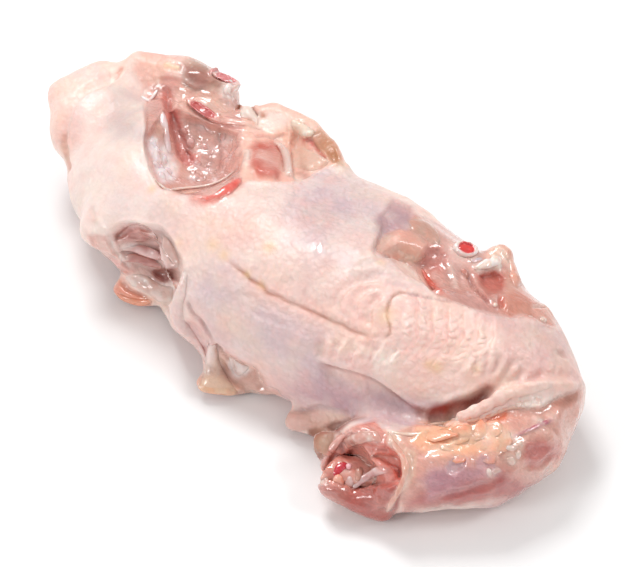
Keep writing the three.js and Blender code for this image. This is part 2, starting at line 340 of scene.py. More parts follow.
    def lumps(self, outline, size, height, soft):
        """Roughens what shows inside a pixel outline with soft lumps."""
        amount = fade(self.depth_into(outline, soft) / soft) * self.seen
        self.co += self.normal * (height * amount * grain(self.co, size, 5))[:, None]

    def spot(self, outline, colour, soft, strength=1.0, **masks):
        """Paints what shows inside a pixel outline, with an edge `soft` pixels wide."""
        amount = self.cover(outline, soft) * strength
        self.dye(amount, colour)
        for mask, value in masks.items():
            self.mark(mask, amount, value)

    def depth_into(self, outline, soft):
        """Pixels into an outline whose edge wavers a little, as torn and stretched tissue does."""
        return inside(self.pixel + EDGE_WAVER * min(soft, WAVER_LIMIT) * self.ripple, outline)

    def cover(self, outline, soft):
        """How far each vertex counts as inside a pixel outline, 0 to 1, with a soft edge."""
        return fade(self.depth_into(outline, soft) / soft + 0.5) * self.seen

    def dye(self, amount, colour, strength=1.0):
        """Takes the tint over to a colour by an amount for each vertex."""
        amount = np.clip(amount * strength, 0, 1)[:, None]
        self.tint = self.tint * (1 - amount) + linear(colour) * amount

    def mark(self, mask, amount, value=1.0):
        """Takes a mask over to a value by an amount for each vertex."""
        self.masks[mask] = self.masks[mask] * (1 - amount) + value * amount

    def stroke(self, pixels, width, colour=None, strength=1.0, ends=0.15, **masks):
        """Paints along a path with a soft round brush, `width` mm to each side."""
        line, normals = self.line(pixels)
        ids, d, share, _ = self.near(line, normals, 2.2 * width)
        env = faded_ends(share, ends)
        amount = np.zeros(len(self.co))
        amount[ids] = np.exp(-((d / width) ** 2)) * env
        if colour:
            self.dye(amount, colour, strength)
        for mask, value in masks.items():
            self.mark(mask, amount * strength, value)

    def finish(self):
        """Gives the mesh its worked shape, colours and masks."""
        put_points(self.obj.data, self.co)
        write_colours(self.obj.data, self.tint, self.masks)
        self.obj.data.update()


def write_colours(mesh, tint, masks):
    """Stores a colour and the masks on a mesh's points, where the material reads them."""
    colours = np.ones((len(tint), 4), np.float32)
    colours[:, :3] = tint
    layer = mesh.attributes.new("tint", "FLOAT_COLOR", "POINT")
    layer.data.foreach_set("color", colours.ravel())
    for name, values in masks.items():
        layer = mesh.attributes.new(name, "FLOAT", "POINT")
        layer.data.foreach_set("value", values.astype(np.float32))


# ---- places in the photo (pixels), named by what shows there

# tail and its smooth flap of skin
TAIL_AREA = [(42, 80), (66, 70), (100, 55), (128, 55), (124, 66), (100, 86), (78, 102), (68, 125),
             (70, 178), (44, 150)]
TAIL_FOLD = [(122, 66), (116, 79), (104, 86), (90, 92), (78, 102), (70, 118), (67, 137), (70, 155),
             (71, 172)]
TAIL_SHADE = [(67, 128), (64, 142), (67, 158), (71, 170)]
TAIL_PLEAT_OUTER = [(109, 78), (116, 72)]
TAIL_PLEAT_INNER = [(115, 80), (119, 73), (123, 66)]
TAIL_DENT = (89, 87)
FLAP_AREA = [(68, 118), (90, 94), (116, 80), (128, 60), (143, 60), (146, 110), (147, 145), (152, 180),
             (162, 196), (140, 224), (108, 232), (76, 236), (70, 175)]
DRAPE_CORNER = ((97, 227), (81, 234))  # pulled from one pixel to another
FLAP_GREY = [(108, 96), (146, 94), (148, 140), (126, 146), (106, 128)]
FLAP_LOW_PUCKER = [(92, 216), (100, 224), (103, 232)]
FLAP_LOW_CREASE = [(90, 206), (95, 216), (95, 226)]

# rim and pit where the far thigh was
PIT_AREA = [(145, 98), (150, 88), (176, 80), (214, 92), (236, 98), (262, 118), (252, 150), (246, 172),
            (226, 190), (200, 197), (180, 194), (160, 188), (150, 168), (145, 143), (147, 126)]
PIT_LEFT = [(166, 192), (156, 181), (149, 166), (145, 143), (147, 126), (144, 102)]
PIT_FLOOR = [(168, 100), (186, 112), (214, 124), (240, 132), (240, 160), (228, 180), (200, 190),
             (172, 184), (156, 168), (152, 130), (158, 108)]
RIM_FAT = [(140, 47), (158, 49), (176, 56), (178, 70), (160, 82), (146, 96), (140, 90), (136, 70)]
RIM_STREAK = [(163, 64), (172, 66), (181, 69)]
RIM_RED = [(158, 82), (170, 80), (184, 82)]
GREY_MEMBRANE = [(178, 60), (196, 60), (212, 68), (222, 80), (216, 92), (204, 94), (190, 84), (180, 78)]
GREY_KNOB = (199, 77)
GREY_KNOB_EDGE = [(180, 80), (188, 86), (197, 90), (206, 88)]
UPPER_WALL = [(176, 84), (206, 92), (232, 94), (238, 114), (216, 120), (196, 112), (182, 118), (172, 108)]
PINK_TIP = [(211, 69), (219, 72), (226, 76)]
WHITE_END = [(236, 80), (231, 88), (226, 95), (234, 103)]
GRISTLE_AND_HIGHLIGHT_LEFT = [(140, 95), (147, 100), (151, 103)]
GRISTLE_AND_HIGHLIGHT_RIGHT = [(149, 101), (154, 95), (158, 88)]
MEAT_SLOT = [(165, 84), (167, 96), (168, 110), (169, 124)]
SILVER_SKIN = [(160, 109), (164, 124), (167, 142), (171, 156)]
SILVER_LEFT_MEAT = [(154, 120), (158, 130), (157, 140)]
DEEP_LINE = [(166, 98), (171, 114), (173, 130), (176, 146), (180, 160)]
DEEP_AREA = [(168, 108), (178, 110), (184, 130), (190, 150), (196, 166), (184, 170), (174, 156),
             (170, 132)]
GLOSS_MEAT = [(182, 112), (222, 128), (220, 172), (204, 186), (186, 180), (176, 164), (184, 148),
              (178, 126)]
WET_HIGHLIGHT_CORNER = [(148, 140), (160, 136), (168, 152), (176, 166), (176, 182), (164, 182), (154, 170)]
PIT_FOLD = [(219, 126), (220, 140), (221, 155), (219, 172)]
PIT_FOLD_MEAT = [(222, 128), (246, 130), (250, 152), (240, 168), (228, 176), (222, 158)]
PINK_BAND = [(214, 118), (232, 121), (248, 124), (262, 128)]
PINK_BAND_LOW = [(212, 123), (230, 127), (248, 130), (262, 134)]
PIT_SKIN_LINE = [(150, 172), (158, 184), (170, 190), (184, 187), (199, 188), (212, 185), (224, 179),
                 (238, 168)]
PIT_SKIN_LINE_LOW = [(160, 190), (174, 194), (190, 192), (205, 191)]
RED_CRESCENT = [(186, 197), (200, 198), (214, 197), (228, 189), (237, 180), (241, 175)]
RED_CRESCENT_HOT = [(196, 199), (210, 199), (222, 194), (233, 186), (243, 175)]
FAT_SPOTS = ((152, 189, 2.2), (178, 243, 2.2), (269, 247, 3.0), (381, 262, 2.2), (213, 244, 3.4),
             (224, 255, 2.6), (262, 285, 2.4), (248, 274, 1.8), (386, 316, 3.6), (437, 367, 3.0),
             (428, 364, 2.0), (476, 369, 2.2))
PIT_GLINTS = ((184, 133), (190, 143), (203, 127), (205, 148), (213, 151), (197, 164), (208, 170),
              (222, 140), (230, 139), (228, 158), (193, 178), (214, 180), (163, 156), (158, 166),
              (170, 170))

# far flaps behind the pit
FAR_FLAP_AREA = [(240, 100), (262, 96), (292, 98), (316, 116), (338, 140), (350, 166), (338, 162),
                 (324, 168), (308, 178), (288, 183), (240, 180), (244, 140)]
FLAP_SLIT = [(248, 102), (252, 109), (257, 117)]
FLAP_POCKET = (263, 116)
FLAP_WHITISH = [(256, 114), (272, 110), (288, 116), (290, 126), (274, 132), (258, 128)]
FLAP_FOLD = [(294, 178), (292, 160), (291, 146), (292, 134), (290, 120)]
LOBE_AREA = [(252, 150), (258, 141), (272, 141), (282, 150), (284, 166), (278, 178), (258, 176),
             (250, 168)]
LOBE_RIM = [(274, 139), (281, 144), (287, 154), (290, 168), (290, 180)]
LOBE_RIM_INNER = [(272, 143), (279, 149), (283, 160), (283, 174)]
LOBE_TOP_LINE = [(254, 138), (264, 136), (274, 138), (286, 134)]
LOBE_FAT = [(248, 148), (246, 158), (243, 168)]
CREAM_FOLD = [(290, 121), (298, 129), (307, 135), (312, 130)]
CREAM_FOLD_LOW = [(293, 134), (300, 139), (308, 138)]
RED_NOTCH = [(302, 141), (308, 139), (313, 146)]
ORANGE_WALL = [(310, 132), (322, 130), (336, 146), (344, 164), (332, 162), (318, 150), (308, 140)]
ORANGE_WALL_EDGE = [(309, 139), (318, 151), (328, 161)]
PALE_BAND = [(293, 150), (304, 148), (318, 156), (330, 162), (314, 172), (300, 168), (292, 160)]
FLAP_DARK = [(294, 172), (302, 174), (308, 178)]
FAR_SKIN_EDGE = [(348, 169), (340, 162), (332, 163), (324, 168), (311, 175), (300, 181), (286, 182),
                 (262, 181), (242, 179)]

# shoulder where the far wing was
SHOULDER_AREA = [(382, 216), (396, 208), (410, 214), (426, 216), (440, 224), (456, 236), (476, 250),
                 (488, 248), (500, 240), (516, 258), (522, 282), (536, 300), (552, 302), (562, 322),
                 (553, 328), (540, 322), (522, 314), (512, 318), (498, 316), (474, 308), (448, 300),
                 (437, 296), (428, 286), (418, 272), (408, 264), (384, 257), (374, 252), (376, 240)]
SHOULDER_EDGE = [(439, 297), (430, 289), (424, 284), (419, 275), (416, 268), (407, 264), (397, 260),
                 (384, 257), (378, 256), (373, 250), (376, 241), (380, 234), (382, 222), (384, 214)]
SHOULDER_EDGE_LOW = [(556, 327), (548, 325), (540, 322), (532, 316), (522, 314), (512, 318), (499, 316),
                     (483, 312), (470, 307), (458, 303), (446, 300)]
LENS_FRONT = [(376, 248), (380, 240), (390, 232), (400, 228), (411, 231), (422, 238), (429, 245),
              (429, 253), (423, 261), (414, 265), (400, 261), (386, 256)]
LENS_BACK = [(409, 221), (420, 218), (432, 224), (440, 236), (441, 245), (434, 245), (424, 238),
             (412, 230)]
LAVENDER_GAP = [(374, 220), (392, 200), (416, 206), (414, 222), (408, 229), (392, 232), (376, 242)]
RED_MEAT = [(428, 246), (440, 246), (450, 256), (448, 270), (434, 272), (424, 270), (418, 264), (424, 256)]
RED_RIDGE = [(421, 266), (424, 274), (429, 281), (436, 288), (447, 294)]
RED_RIDGE_EDGE = [(419, 270), (426, 284), (436, 292), (450, 298)]
BONE_SEAT = (462, 252)
MARBLE_MEAT = [(446, 264), (462, 266), (472, 284), (478, 300), (492, 306), (498, 314), (474, 308),
               (456, 301), (446, 290)]
PALE_STREAK = [(448, 262), (453, 274), (457, 290)]
DARK_CREVICE = [(466, 270), (470, 280), (474, 288), (482, 296), (492, 305)]
HOT_HOLLOW = [(478, 275), (496, 270), (506, 279), (504, 292), (490, 297), (479, 288)]
CARTILAGE_BAR = [(474, 272), (482, 266), (492, 264), (503, 267)]
PALE_KNOB = (498, 252)
KNOB_AREA = [(486, 258), (490, 246), (500, 240), (508, 250), (516, 266), (516, 280), (508, 268),
             (500, 262), (490, 264)]
HOT_SPOT = [(501, 296), (501, 302), (503, 309)]
PINK_MEAT = [(504, 276), (516, 270), (524, 288), (534, 302), (532, 316), (512, 317), (504, 312)]
SMALL_FLAP = [(532, 304), (548, 303), (560, 318), (554, 326), (542, 320), (534, 312)]
SMALL_FLAP_KNOB = (543, 320)
SMALL_FLAP_EDGE = [(530, 308), (538, 306), (548, 308), (556, 318)]

# skin of the back
SADDLE_AREA = [(150, 196), (190, 202), (232, 196), (262, 186), (280, 200), (262, 236), (244, 264),
               (214, 262), (190, 258), (174, 236), (146, 224), (132, 218)]
LAVENDER_AREA = [(304, 184), (334, 168), (372, 188), (384, 214), (374, 252), (352, 262), (318, 268),
                 (302, 250), (292, 214)]
MID_AREA = [(250, 250), (300, 262), (350, 276), (380, 272), (420, 286), (420, 300), (388, 312),
            (346, 322), (300, 302), (262, 284)]
FLANK_AREA = [(196, 262), (232, 270), (276, 300), (330, 330), (334, 364), (380, 390), (430, 412),
              (420, 424), (340, 424), (286, 404), (256, 372), (214, 342), (190, 300)]
FLANK_LOW = [(270, 372), (320, 372), (380, 392), (424, 414), (410, 422), (340, 418), (290, 400)]
FOLLICLE_AREA = [(340, 300), (352, 284), (380, 278), (410, 292), (440, 296), (480, 312), (500, 330),
                 (500, 360), (488, 384), (452, 392), (400, 388), (362, 370), (330, 358), (322, 336),
                 (350, 326)]
BEAD_AREA = [(396, 298), (412, 298), (440, 305), (466, 312), (482, 322), (492, 338), (490, 354),
             (482, 366), (472, 372), (454, 368), (436, 362), (422, 356), (408, 358), (396, 352),
             (392, 338), (394, 318)]
ROLL_BEADS = [(326, 336), (350, 336), (380, 342), (396, 346), (406, 362), (392, 374), (368, 370),
              (346, 366), (328, 358)]
NECK_SKIN = [(484, 316), (520, 316), (552, 328), (566, 322), (584, 384), (544, 380), (510, 388),
             (498, 376), (500, 340)]
SPINE_CREASE = [(222, 254), (230, 262), (238, 269), (247, 275), (251, 280), (262, 286), (268, 293),
                (280, 297), (286, 301), (300, 306), (306, 309), (315, 313), (326, 318), (334, 322),
                (343, 325), (350, 330), (362, 334), (370, 338), (378, 336), (386, 338)]
SPINE_CREASE_TURN = [(380, 338), (389, 335), (390, 327), (387, 317), (388, 308), (392, 298), (400, 293),
                     (412, 294)]
SHOULDER_CREASE = [(404, 293), (423, 297), (440, 300), (456, 303)]
ARC_OUTER = [(385, 283), (372, 283), (358, 286), (348, 292), (341, 301), (341, 314)]
ARC_MIDDLE = [(378, 290), (366, 294), (359, 303), (357, 318)]
ARC_INNER = [(384, 298), (376, 303), (372, 312), (373, 326)]
BULGE = (352, 300)
ROLL_CREASES = ([(325, 337), (325, 348), (329, 360)], [(343, 342), (338, 350), (338, 362)],
                [(360, 347), (353, 356), (352, 367)], [(382, 346), (374, 355), (371, 366)],
                [(399, 349), (391, 357), (387, 367)])
ROLLS = ((333, 348), (347, 353), (364, 356), (386, 357))
SIDE_FOLDS = ([(318, 292), (309, 299), (306, 308)], [(296, 282), (288, 288), (284, 296)],
              [(330, 300), (323, 305), (321, 312)], [(270, 268), (262, 274), (258, 280)])
OVERHANG = [(316, 362), (328, 365), (341, 369), (356, 373), (372, 379), (385, 387), (400, 398),
            (414, 407), (430, 411)]
FLANK_LINES = ([(246, 322), (280, 334), (312, 350), (330, 360)],
               [(258, 342), (290, 351), (322, 366), (350, 382)],
               [(240, 350), (280, 364), (320, 380), (364, 396)],
               [(262, 366), (300, 378), (344, 396), (384, 408)], [(236, 300), (262, 316), (300, 330)],
               [(224, 322), (256, 336), (296, 356)])
BACK_LINES = ([(396, 250), (372, 262), (340, 266)], [(410, 282), (384, 274), (356, 276)],
              [(418, 290), (396, 284), (380, 281)], [(376, 180), (352, 190), (330, 200)],
              [(350, 172), (330, 186), (308, 196)], [(300, 186), (292, 204), (280, 220)])
BACK_GLINT = (321, 247)
FLANK_GLINT = (395, 408)

# hollow where the near thigh was
NEAR_RIM = [(104, 237), (112, 230), (122, 224), (134, 223), (147, 226), (160, 228), (170, 238),
            (177, 252), (182, 262), (183, 273), (179, 290), (171, 301), (166, 314)]
NEAR_AREA = [(92, 236), (108, 234), (124, 224), (146, 226), (162, 229), (172, 240), (180, 254),
             (184, 272), (178, 292), (164, 306), (140, 282), (118, 270), (100, 258)]
NEAR_ROOF = [(112, 234), (124, 225), (140, 225), (148, 232), (146, 240), (128, 238), (114, 242)]
NEAR_LOBE = [(90, 236), (106, 236), (114, 248), (122, 262), (134, 272), (120, 273), (104, 262), (94, 250)]
NEAR_LOBE_EDGE = [(108, 236), (113, 248), (122, 260), (132, 270)]
ROLL_PALE = [(112, 250), (126, 247), (142, 250), (156, 256), (170, 262)]
ROLL_PINK = [(118, 262), (130, 256), (144, 258), (158, 264)]
ROLL_GAP = [(116, 256), (130, 252), (146, 256), (160, 262)]
NEAR_DARK_LINE = [(153, 235), (162, 246), (170, 257), (176, 268)]
NEAR_OUTER_LINE = [(160, 238), (170, 244), (176, 256)]
NEAR_DEEP = [(150, 268), (160, 266), (176, 266), (178, 282), (164, 284), (154, 276)]
LOWER_FLAP = [(122, 276), (140, 272), (158, 282), (176, 286), (174, 298), (162, 304), (150, 300),
              (136, 290)]
ORANGE_FLAP = [(112, 290), (122, 278), (130, 288), (142, 292), (152, 298), (150, 306), (134, 308),
               (118, 302)]
ORANGE_TIP = ((122, 292), (114, 292))  # pulled from one pixel to another
ORANGE_FLAP_EDGE = [(122, 280), (128, 289), (138, 294), (150, 299)]
NEAR_TISSUE = [(156, 288), (168, 285), (175, 286)]

# folds of skin down the near flank, and the flaps at the table
FLANK_FOLD = [(186, 262), (184, 276), (181, 291), (177, 304), (180, 320), (190, 336), (202, 352),
              (208, 366)]
FLANK_FOLD_INNER = [(187, 298), (192, 312), (202, 322), (208, 332), (214, 342)]
FLANK_SHADE = [(180, 322), (190, 318), (206, 330), (212, 344), (206, 366), (194, 346)]
FLANK_PINK = [(168, 308), (177, 310), (180, 326), (186, 338), (172, 330)]
LOW_AREA = [(206, 340), (214, 342), (228, 353), (256, 368), (266, 386), (282, 392), (276, 398),
            (236, 400), (190, 404), (196, 378), (206, 372)]
LOW_RIDGE = [(213, 340), (211, 354), (210, 366), (209, 378)]
LOW_TIP = ((203, 391), (194, 392))  # pulled from one pixel to another
LOW_ORANGE = [(190, 400), (198, 378), (208, 374), (222, 378), (238, 388), (232, 397), (206, 400)]
LOW_DARK = [(219, 345), (226, 356), (232, 366), (236, 376)]
LOW_INNER = [(216, 350), (232, 368), (258, 374), (270, 390), (250, 398), (234, 388), (220, 376)]
LOW_EDGE = [(214, 341), (225, 352), (239, 361), (255, 368), (259, 377), (266, 385), (280, 391)]
WHITE_BIT = [(229, 358), (232, 368), (238, 375), (246, 371), (250, 366)]
ROLLED_EDGE_LINE = [(292, 410), (307, 410), (319, 407), (336, 410), (352, 413)]
ROLLED_EDGE = [(284, 412), (300, 412), (330, 410), (350, 414), (334, 424), (314, 431), (292, 432),
               (285, 424)]
LOW_SHADOW = [(322, 428), (334, 420), (352, 416), (366, 416), (350, 424), (338, 434)]
LOW_NUB = [(308, 430), (322, 428), (336, 432), (334, 446), (330, 458), (316, 460), (308, 446)]

# neck
NECK_CREST = [(444, 421), (457, 418), (466, 414), (484, 406), (505, 395), (524, 389), (544, 385),
              (566, 385), (582, 387)]
NECK_CREVICE = [(416, 417), (432, 418), (446, 418), (454, 412), (464, 407), (477, 400), (488, 391),
                (495, 381)]
NECK_CREVICE_SHADE = [(412, 411), (426, 409), (440, 404), (456, 399), (472, 395), (486, 383), (494, 386),
                     (482, 402), (466, 410), (450, 419), (432, 421), (414, 419)]
NECK_WRINKLES = ([(516, 357), (505, 375), (491, 387)], [(529, 367), (514, 378), (502, 387)],
                 [(546, 372), (534, 379), (523, 384)], [(556, 350), (562, 355), (568, 357)],
                 [(500, 352), (496, 366), (486, 380)], [(488, 350), (486, 364), (480, 378)],
                 [(476, 352), (476, 366), (472, 380)])
NECK_CREST_AREA = [(440, 420), (462, 404), (486, 388), (506, 376), (530, 374), (560, 376), (584, 386),
                   (556, 398), (536, 408), (508, 408), (484, 420)]
NECK_SKIN_EDGE = [(424, 424), (446, 421), (466, 420), (484, 418), (498, 411), (513, 406), (530, 408),
                  (541, 407), (552, 399), (564, 394), (582, 387)]
NECK_BARE = [(388, 432), (410, 424), (434, 422), (484, 419), (513, 407), (541, 408), (564, 395),
             (584, 388), (580, 440), (545, 488), (460, 504), (404, 512), (400, 496), (408, 470),
             (400, 450)]
NECK_FAT = [(414, 424), (484, 420), (506, 424), (508, 440), (498, 452), (470, 454), (444, 452),
            (420, 450), (408, 440)]
NECK_TENDON_FAT = [(384, 428), (396, 430), (404, 446), (416, 452), (414, 476), (404, 492), (396, 512),
                   (388, 512), (402, 484), (404, 462), (390, 446)]
ORANGE_STREAK = [(494, 418), (500, 414), (506, 410)]
ORANGE_PATCH = [(480, 420), (492, 413), (507, 409), (506, 420), (494, 423)]
NECK_LOW = [(404, 512), (416, 490), (440, 474), (480, 470), (520, 476), (548, 486), (520, 500), (460, 506)]
NECK_PURPLE = [(418, 478), (440, 462), (470, 466), (500, 476), (470, 486), (430, 496)]
NECK_RED_PATCH = [(522, 446), (540, 442), (558, 446), (556, 462), (536, 468), (522, 458)]
NECK_DARK_PATCH = [(552, 404), (566, 394), (580, 388), (578, 398), (564, 408)]
NECK_VEIN = [(509, 438), (520, 434), (532, 429), (544, 423), (556, 419)]
WINDOW_LEFT = [(446, 466), (450, 460), (460, 456), (468, 458), (466, 468), (456, 476), (448, 474)]
WINDOW_RIGHT = [(477, 462), (482, 454), (492, 460), (498, 468), (490, 474), (478, 468)]
MUSCLE_GROOVES = ([(420, 452), (440, 450), (462, 450)], [(472, 448), (476, 458), (478, 472)],
                  [(500, 446), (506, 460), (514, 472)], [(430, 500), (470, 490), (500, 480)],
                  [(540, 410), (548, 424), (560, 436)], [(520, 466), (540, 464), (556, 452)])
NECK_GLINTS = ((390, 429), (434, 452), (445, 448), (488, 442), (511, 437), (520, 443), (538, 420),
               (553, 417), (526, 404), (538, 400), (512, 460), (492, 474), (380, 424), (350, 447))

# cut end of the neck
CUT_AREA = [(330, 447), (340, 434), (356, 426), (376, 420), (388, 434), (391, 445), (403, 455),
            (406, 467), (404, 484), (395, 496), (388, 511), (378, 514), (364, 506), (352, 494),
            (330, 493), (322, 478), (323, 462)]
CUT_HOLLOW = [(346, 448), (366, 440), (388, 444), (402, 456), (405, 468), (402, 482), (390, 488),
              (372, 486), (352, 484), (342, 468)]
CUT_VOID = [(366, 456), (378, 450), (396, 452), (405, 462), (404, 478), (396, 482), (392, 470), (378, 462)]
CUT_LIP = [(388, 432), (391, 444), (403, 455), (407, 467), (404, 484), (395, 497), (387, 512)]
CUT_MUSCLE = [(316, 484), (350, 486), (368, 482), (392, 482), (402, 490), (398, 506), (390, 528),
              (372, 524), (340, 508), (314, 496)]
CUT_LEFT_LIP = [(331, 450), (325, 462), (323, 476), (328, 488)]
CUT_TOP_GROOVES = ([(340, 442), (344, 452), (348, 460)], [(352, 436), (356, 446), (360, 454)],
                   [(364, 430), (369, 438), (372, 448)], [(345, 438), (360, 434), (376, 436)])
CUT_TOP = [(334, 448), (342, 434), (358, 426), (378, 424), (386, 436), (380, 446), (362, 448), (344, 456)]


# ---- relief, region by region


def sculpt_tail(clay):
    clay.grab(*DRAPE_CORNER, 17)
    clay.settle()
    clay.ledge(TAIL_FOLD, 2.4, 0.8, 9)
    clay.groove(TAIL_SHADE, 1.6, 1.6)
    clay.groove(TAIL_PLEAT_OUTER, 1.0, 0.6)
    clay.groove(TAIL_PLEAT_INNER, 1.1, 0.9)
    clay.swell(TAIL_DENT, 2.2, -0.8, (1.8, 1))
    clay.groove(FLAP_LOW_PUCKER, 1.4, -0.7)
    clay.groove(FLAP_LOW_CREASE, 1.3, 0.6)


def sculpt_pit(clay):
    clay.sink(PIT_FLOOR, 5.0, 10)
    clay.ledge(PIT_LEFT, 3.0, 0.9, 12)
    clay.sink(DEEP_AREA, 2.5, 5)
    clay.swell(GREY_KNOB, 5.5, 2.2, (1.3, 1))
    clay.groove(GREY_KNOB_EDGE, 1.0, 1.0)
    clay.groove(RIM_STREAK, 0.9, -0.8)
    clay.groove(RIM_RED, 1.4, 0.9)
    clay.groove(PINK_TIP, 2.2, -1.0)
    clay.groove(WHITE_END, 2.0, -1.6)
    clay.groove(MEAT_SLOT, 1.8, 2.2)
    clay.groove(DEEP_LINE, 1.6, 2.4, lip=0.1)
    clay.groove(PIT_FOLD, 1.0, 1.6)
    clay.groove(PINK_BAND, 1.7, -1.4, ends=0.3)
    clay.groove(PINK_BAND_LOW, 0.9, 0.9)
    clay.groove(RED_CRESCENT, 2.0, -1.0)
    for outline, size, height, soft in (
        (GLOSS_MEAT, 5.0, 1.1, 4), (GLOSS_MEAT, 2.6, 0.5, 4), (PIT_FOLD_MEAT, 4.4, 1.0, 4),
        (PIT_FOLD_MEAT, 2.4, 0.4, 4), (WET_HIGHLIGHT_CORNER, 3.8, 1.1, 3), (WET_HIGHLIGHT_CORNER, 2.2, 0.5, 3),
        (UPPER_WALL, 4.4, 0.8, 3), (RIM_FAT, 4.0, 0.5, 3), (GREY_MEMBRANE, 5.0, 0.6, 3),
    ):
        clay.lumps(outline, size, height, soft)


def sculpt_far_flaps(clay):
    clay.ledge(FAR_SKIN_EDGE, 2.4, 0.8, 9)
    clay.ledge(FLAP_FOLD, 3.0, 0.9, 9)
    clay.groove(FLAP_SLIT, 1.2, 3.0)
    clay.swell(FLAP_POCKET, 1.6, -1.6)
    clay.sink(LOBE_AREA, -1.8, 6)
    clay.groove(LOBE_RIM_INNER, 0.8, 1.2)
    clay.groove(LOBE_RIM, 1.2, -0.9)
    clay.groove(LOBE_TOP_LINE, 0.9, 0.9)
    clay.groove(LOBE_FAT, 1.6, -0.9)
    clay.groove(CREAM_FOLD, 2.2, -1.0)
    clay.groove(CREAM_FOLD_LOW, 1.0, 1.2)
    clay.groove(RED_NOTCH, 1.3, 1.7)
    clay.groove(ORANGE_WALL_EDGE, 0.9, 1.4)
    clay.sink(ORANGE_WALL, 1.6, 5)
    clay.groove(FLAP_DARK, 1.6, 1.8)


def sculpt_shoulder(clay):
    clay.ledge(SHOULDER_EDGE, 2.2, 0.7, 10)
    clay.ledge(SHOULDER_EDGE_LOW, 1.8, 0.7, 8)
    clay.sink(LAVENDER_GAP, 1.2, 4)
    clay.sink(RED_MEAT, 1.6, 7)
    clay.sink(LENS_BACK, -0.8, 5)
    clay.sink(LENS_FRONT, -1.2, 6)
    clay.groove(RED_RIDGE, 1.3, -1.5)
    clay.groove(RED_RIDGE_EDGE, 0.8, 1.0)
    clay.groove(PALE_STREAK, 1.3, -0.9)
    clay.sink(HOT_HOLLOW, 3.0, 5)
    clay.groove(DARK_CREVICE, 1.1, 1.9)
    clay.groove(CARTILAGE_BAR, 1.7, -1.8)
    clay.swell(PALE_KNOB, 3.4, 1.8)
    clay.groove(HOT_SPOT, 1.2, 1.8)
    clay.groove(SMALL_FLAP_EDGE, 0.9, 0.9)
    clay.swell(SMALL_FLAP_KNOB, 2.0, 1.5)


def sculpt_back(clay):
    clay.groove(SPINE_CREASE, 2.2, 0.35, lip=0.3, ends=0.3)
    clay.groove(SPINE_CREASE, 0.8, 0.5, lip=0.05, ends=0.15)
    clay.groove(SPINE_CREASE_TURN, 0.8, 0.9, lip=0.1)
    clay.groove(SHOULDER_CREASE, 0.9, 0.7)
    clay.swell(BULGE, 7.0, 1.4)
    clay.ledge(ARC_OUTER, 1.5, 0.7, 6)
    clay.ledge(ARC_MIDDLE, 1.0, 0.7, 5)
    clay.ledge(ARC_INNER, 1.2, 0.6, 5)
    for crease in ROLL_CREASES:
        clay.ledge(crease, 1.7, 0.6, 6, ends=0.3)
    for roll in ROLLS:
        clay.swell(roll, 3.0, 1.1, (1, 1.8), -20)
    for u, v in even(smooth_line(SPINE_CREASE, 1), 26)[1:]:
        clay.swell((u + 3, v - 5), 1.5, 0.4)
        clay.swell((u - 3, v + 5), 1.5, 0.35)
    for fold in SIDE_FOLDS:
        clay.ledge(fold, 0.8, 0.7, 6, ends=0.3)
    clay.ledge(OVERHANG, 2.4, 0.8, 11)
    for line in FLANK_LINES:
        clay.groove(line, 1.4, 0.15, lip=0.6, ends=0.4)
    for line in BACK_LINES:
        clay.groove(line, 1.6, 0.35, lip=0.6, ends=0.4)
    clay.swell(BACK_GLINT, 2.6, 0.5, (0.8, 1.6))
    clay.swell(FLANK_GLINT, 2.4, 0.7, (1.6, 1))


FOLLICLE_COLUMNS = 7
COLUMN_STEP = 15.3  # pixels between columns of feather follicles
FOLLICLE_STEP = 8.2  # pixels between the follicles in a column
BEAD_MIDDLE = 0.42  # where a column's beads sit across it, from 0 to 1
FIRST_FOLLICLE = (402, 298)
COLUMN_BEND = 338  # the pixel row where the columns start to slant away from the neck
COLUMN_LENGTH = 40
BEAD_INSET = 5  # pixels from a fold's edge to the follicles on it


def column_line(column):
    """The tail-side edge of a column of follicles, from the shoulder down."""
    u = FIRST_FOLLICLE[0] + column * COLUMN_STEP
    top = FIRST_FOLLICLE[1] + 2.4 * column
    return [(u, top), (u - 1, top + 0.5 * COLUMN_LENGTH), (u, COLUMN_BEND), (u - 14, COLUMN_BEND + 16),
            (u - 26, COLUMN_BEND + 26)]


def sculpt_follicles(clay):
    """Columns of feather follicles: each is a low ridge, steep on the side that faces the tail."""
    for column in range(1, FOLLICLE_COLUMNS):
        clay.ledge(column_line(column), 0.95, 0.8, 6, ends=0.2)
    for line, count in ((ARC_OUTER, 6), (ARC_MIDDLE, 5), (ARC_INNER, 5)):
        for u, v in even(smooth_line(line, 1), count + 2)[1:-1]:
            clay.swell((u + BEAD_INSET, v + 1), 1.7, 0.6, (1.2, 1))
    for crease in ROLL_CREASES:
        for u, v in even(smooth_line(crease, 1), 5)[1:-1]:
            clay.swell((u + BEAD_INSET, v), 1.6, 0.45, (1.2, 1))


def number_scales(clay):
    """Counts columns and rows of follicles over the skin, which the material turns into beads."""
    u, v = clay.pixel.T
    slump = np.clip(v - COLUMN_BEND, 0, None)
    clay.masks["column"] = (u - FIRST_FOLLICLE[0] + 0.6 * slump) / COLUMN_STEP
    clay.masks["row"] = (v - FIRST_FOLLICLE[1] - 0.12 * (u - FIRST_FOLLICLE[0])) / FOLLICLE_STEP
    clay.masks["pores"] *= 1 - clay.masks["meat"]


